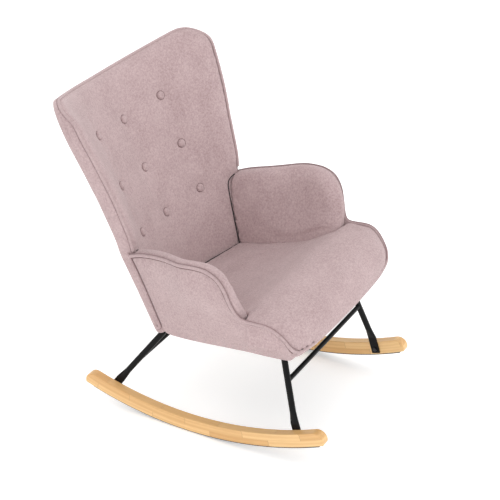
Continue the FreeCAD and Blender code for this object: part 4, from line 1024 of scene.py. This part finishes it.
def build_side_gap_shade(side, name):
    """Thin black cord between the back and the arm's inner face: painted shade of the gap between them.
    """
    height = np.append(np.linspace(346, 520, 60), [530, 538, 544, 548])
    inset = np.append(np.full(60, 53.0), [51.0, 46.0, 38.0, 28.0])
    behind = np.full(len(height), 140.0)
    for _ in range(6):
        half = tub_half(behind, height) - inset
        behind = back_reach(half, height) - 2.0
    line = np.stack([side * half, behind, height], 1) * MM
    # The black cord is painted shade in the gap.
    return cord_piece(f"gap_shade_cord_{name}", line, 0.0015, "dust_cloth", 8, 0.0)


# ------------------------------------------------------------------ seat
SEAT_PROFILE = [
    (152, 335), (120, 338), (60, 349), (0, 363), (-50, 375), (-110, 397), (-170, 429),
    (-220, 456), (-260, 467), (-292, 470), (-322, 465), (-350, 448), (-372, 421), (-386, 396),
    (-392, 379),
]
SIDE_HEIGHTS = [
    (-215, 456), (-250, 457), (-288, 457), (-307, 450), (-324, 437), (-339, 421), (-352, 402),
    (-361, 379),
]


def seat_rim(middle):
    """Where the seat's side edge lies for each point of its middle profile: across, behind, height."""
    behind = np.where(middle[:, 0] < -200, -200 + (middle[:, 0] + 200) * (161 / 192), middle[:, 0])
    inner_half = tub_half(behind, seat_line(behind)) - 53.5
    outer_half = tub_half(behind, eased(SIDE_HEIGHTS, behind)) - 3
    share = rising(-203, -226, behind)
    half = inner_half * (1 - share) + outer_half * share
    height = seat_line(behind) * (1 - share) + (eased(SIDE_HEIGHTS, behind) + 1) * share
    return np.stack([half, behind, height], 1)


def build_seat_pad():
    """Seat cushion: dished toward the back, plump at the knees, falling over the front."""
    rows, columns = 150, 131
    middle = flowing(SEAT_PROFILE, rows)
    rim = seat_rim(middle)
    across = np.sin(np.linspace(-1, 1, columns) * math.pi / 2 * 0.9) / math.sin(math.pi / 2 * 0.9)
    away = np.abs(across)
    x = rim[:, :1] * across[None]
    fall = 0.45 * away ** 2 + 0.55 * away ** 6
    behind = middle[:, :1] + (rim[:, 1] - middle[:, 0])[:, None] * fall[None]
    height = middle[:, 1:] + (rim[:, 2] - middle[:, 1])[:, None] * fall[None]
    gap = rim[:, :1] - np.abs(x)
    tuck = 1 - np.sqrt(np.clip(1 - (1 - np.clip(gap / 16, 0, 1)) ** 2, 0, 1))
    front = rising(-205, -235, rim[:, 1])[:, None]
    height = height - tuck * (3 * (1 - front) + 1.5 * front)
    reach = back_reach(x, height)
    rear_gap = reach - behind
    behind = np.minimum(behind, reach - 3.0)
    creases = np.array([
        [noise.noise(Vector((a * 0.011, b * 0.032 + a * 0.006, 7.0))) for a, b in zip(xs, ys)]
        for xs, ys in zip(x, behind)
    ])
    loose = rising(0, 60, gap) * rising(8, 60, rear_gap) * rising(-300, -120, behind)
    height = height + 2.2 * creases * loose
    height = height - 4 * (1 - np.sqrt(np.clip(1 - (1 - np.clip(rear_gap / 14, 0, 1)) ** 2, 0, 1)))
    top = np.stack([x, behind, height], -1) * MM
    # A thin black cord along the seat's rear edge: painted shade of the gap between the seat and the
    # back.
    inside = np.abs(x[0]) < rim[0, 0] - 3
    rear_gap_shade = top[0][inside] + np.array([0.0, 0.002, 0.001])
    cord_piece("gap_shade_cord_rear", rear_gap_shade, 0.0017, "dust_cloth", 8, 0.0)
    floor_height = 330 - behind * math.tan(math.radians(7.3)) + 10
    low_height = np.minimum(height - 14, floor_height)
    low_x = x * 0.985
    low = np.stack([low_x, np.maximum(behind, -376 + 0 * behind), low_height], -1) * MM
    pad = slab_piece("seat_pad", top, low, "upholstery")

    def held(points):
        half = np.interp(-points[:, 1], -rim[:, 1], rim[:, 0])
        surface = np.interp(-points[:, 1], -middle[:, 0], middle[:, 1])
        loose = rising(10, 45, half - np.abs(points[:, 0])) * rising(-26, -14, points[:, 2] - surface)
        loose *= rising(5, 40, back_reach(points[:, 0], points[:, 2]) - points[:, 1])
        return 1 - loose * rising(-372, -330, points[:, 1])

    swollen(pad, held, 0.005)
    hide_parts("seat_foam", "seat_cover")
    return pad


FRONT_WELT = [
    (290.5, -361, 386), (284, -363.5, 381), (273, -366, 377.5), (258, -369, 376),
    (240, -372, 375.8), (215, -376, 376), (187, -379, 376), (124, -382.5, 376.5),
    (60, -384.5, 377), (0, -385, 377),
]


def front_line(count):
    half = np.array(FRONT_WELT, float)
    whole = np.vstack([half, mirrored(half)[-2::-1]])
    return flowing(whole, count)


def build_front_band():
    """Plain band under the front piping, turned under at its lower edge."""
    line = front_line(140)
    levels = [
        (0.0, 1.5), (-3.0, 1.0), (-8.0, 1.6), (-13.0, 3.4), (-17.0, 5.6), (-19.0, 8.4),
        (-19.5, 13.0), (-19.0, 24.0),
    ]
    outer = []
    for drop, back in levels:
        shifted = line + np.array([0.0, 0.0, drop])
        shifted[:, 1] += back
        shifted[:, 0] *= 1 - 0.012 * (-drop / 18)
        outer.append(shifted)
    band = piece("front_apron", np.vstack(outer) * MM, grid_faces(len(outer), len(line)), "upholstery")
    changed(band, "SOLIDIFY", thickness=0.0022, offset=-1.0)
    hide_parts("front_band")
    return band


def build_front_piping():
    line = front_line(260) + np.array([0.0, -1.0, 0.0])
    cord = cord_piece("front_welt", line * MM, 0.0042, "piping_fabric")
    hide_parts("front_piping")
    return cord


def build_dust_cover():
    """Thin black cloth stapled under the seat, sagging a little between its edges."""
    rows, columns = 60, 60
    behind = np.linspace(-372, 62, rows)[:, None] + np.zeros((1, columns))
    level = 310.5 - behind * math.tan(math.radians(7.3))
    half = tub_half(behind, level + 6) - 17
    across = np.linspace(-1, 1, columns)
    front_limit = eased([(0, -376), (187, -370), (250, -352), (300, -325)], np.abs(across) * 290)
    behind = np.maximum(behind, front_limit[None])
    x = half * across[None]
    gap = np.minimum(half - np.abs(x), np.minimum(62 - behind, behind - front_limit[None]))
    sag = 3.0 * rising(0, 120, gap)
    ripple = np.array([
        [0.8 * noise.noise(Vector((a * 0.02, b * 0.02, 3.0))) for a, b in zip(xs, ys)]
        for xs, ys in zip(x, behind)
    ])
    height = 308.6 - behind * math.tan(math.radians(7.3)) - sag + ripple
    points = np.stack([x, behind, height], -1).reshape(-1, 3) * MM
    cloth = piece("under_cloth", points, grid_faces(rows, columns), "dust_cloth")
    changed(cloth, "SOLIDIFY", thickness=0.0008, offset=0.0)
    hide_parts("dust_cover")
    return cloth


def build_back_base():
    """Black cloth that closes the underside of the back between its two covers."""
    columns = 60
    x = np.linspace(-252, 252, columns)
    front = back_point(x, 337 - 6.0, back_surface(x, 333) + 1) / MM
    share = np.clip(np.abs(x) / 255, 0, 1) ** 2
    rear = back_point(x, 306.0, back_surface(x, 300) - (59 + (30 - 59) * share)) / MM
    rows = []
    for part in np.linspace(0, 1, 8):
        row = front + (rear - front) * part
        row[:, 2] = 306 + 2 * part
        rows.append(row)
    cloth = piece("back_under_cloth", np.vstack(rows) * MM, grid_faces(8, columns), "dust_cloth")
    changed(cloth, "SOLIDIFY", thickness=0.0008, offset=0.0)
    return cloth


# ------------------------------------------------------------------ assembly
pieces = [
    build_back_pad(),
    build_back_shell(),
    build_back_piping(),
    build_buttons(),
    build_button_shade_rings(),
    *build_back_welt_shade_lines(),
    build_seat_pad(),
    build_front_band(),
    build_front_piping(),
    build_dust_cover(),
    build_back_base(),
]
for name, side in (("left", 1), ("right", -1)):
    pieces.append(build_arm_pad(side, name))
    pieces.append(build_arm_panel(side, name))
    pieces.append(build_arm_piping(side, name))
    pieces.extend(build_arm_welt_shade_lines(side, name))
    pieces.extend(build_tub_seam(side, name))
    pieces.append(build_side_gap_shade(side, name))
pieces.append(bpy.data.objects["gap_shade_cord_rear"])
for item in pieces:
    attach(item, "root")


# ------------------------------------------------------------------ studio
def lamp(name, place, aim, size, power, colour=(1.0, 1.0, 1.0)):
    light = bpy.data.lights.new(name, "AREA")
    light.shape = "DISK"
    light.size = size
    light.energy = power
    light.color = colour
    item = bpy.data.objects.new(name, light)
    item.location = place
    item.rotation_mode = "QUATERNION"
    item.rotation_quaternion = (Vector(aim) - Vector(place)).to_track_quat("-Z", "Y")
    bpy.context.scene.collection.objects.link(item)
    return item


lamp("key_softbox", (-3.6, -1.5, 2.3), (0, 0, 0.4), 2.2, 22)
lamp("top_softbox", (-0.9, -0.9, 3.5), (0, 0, 0.4), 2.6, 17)
lamp("fill_softbox", (1.6, -3.6, 2.0), (0, 0, 0.4), 2.2, 26)
lamp("rear_softbox", (0.5, 3.2, 2.8), (0, 0, 0.5), 2.4, 34)

world = bpy.data.worlds.new("studio")
world.use_nodes = True
world.node_tree.nodes["Background"].inputs[0].default_value = rgba(1.0, 1.0, 1.0)
world.node_tree.nodes["Background"].inputs[1].default_value = 0.94
bpy.context.scene.world = world
bpy.context.scene.view_settings.view_transform = "Standard"

paper = Finish("white_paper_sweep", Base_Color=rgba(0.93, 0.93, 0.93), Roughness=0.9)
paper.shader.inputs["Specular IOR Level"].default_value = 0.1
paper.shader.inputs["Emission Color"].default_value = rgba(1.0, 1.0, 1.0)
paper.shader.inputs["Emission Strength"].default_value = 0.28
floor_mesh = bpy.data.meshes.new("paper_floor")
floor_mesh.from_pydata([(-9, -9, 0), (9, -9, 0), (9, 9, 0), (-9, 9, 0)], [], [(0, 1, 2, 3)])
floor_mesh.materials.append(paper.material)
floor = bpy.data.objects.new("paper_floor", floor_mesh)
bpy.context.scene.collection.objects.link(floor)

lens = bpy.data.cameras.new("camera")
lens.sensor_width = 36.0
lens.lens = 1490.424 / 500 * 36.0
lens.clip_start, lens.clip_end = 0.1, 60.0
camera = bpy.data.objects.new("camera", lens)
azimuth, elevation = math.radians(-61.004), math.radians(29.115)
toward_lens = Vector((
    math.sin(azimuth) * math.cos(elevation),
    -math.cos(azimuth) * math.cos(elevation),
    math.sin(elevation),
))
right = Vector((math.cos(azimuth), math.sin(azimuth), 0.0))
upward = toward_lens.cross(right)
camera.location = (
    Vector((0.0, 0.0, 0.45)) + toward_lens * 4.290355 + right * 0.053833 + upward * 0.004951
)
camera.rotation_mode = "QUATERNION"
camera.rotation_quaternion = Matrix((right, upward, toward_lens)).transposed().to_quaternion()
bpy.context.scene.collection.objects.link(camera)
bpy.context.scene.camera = camera
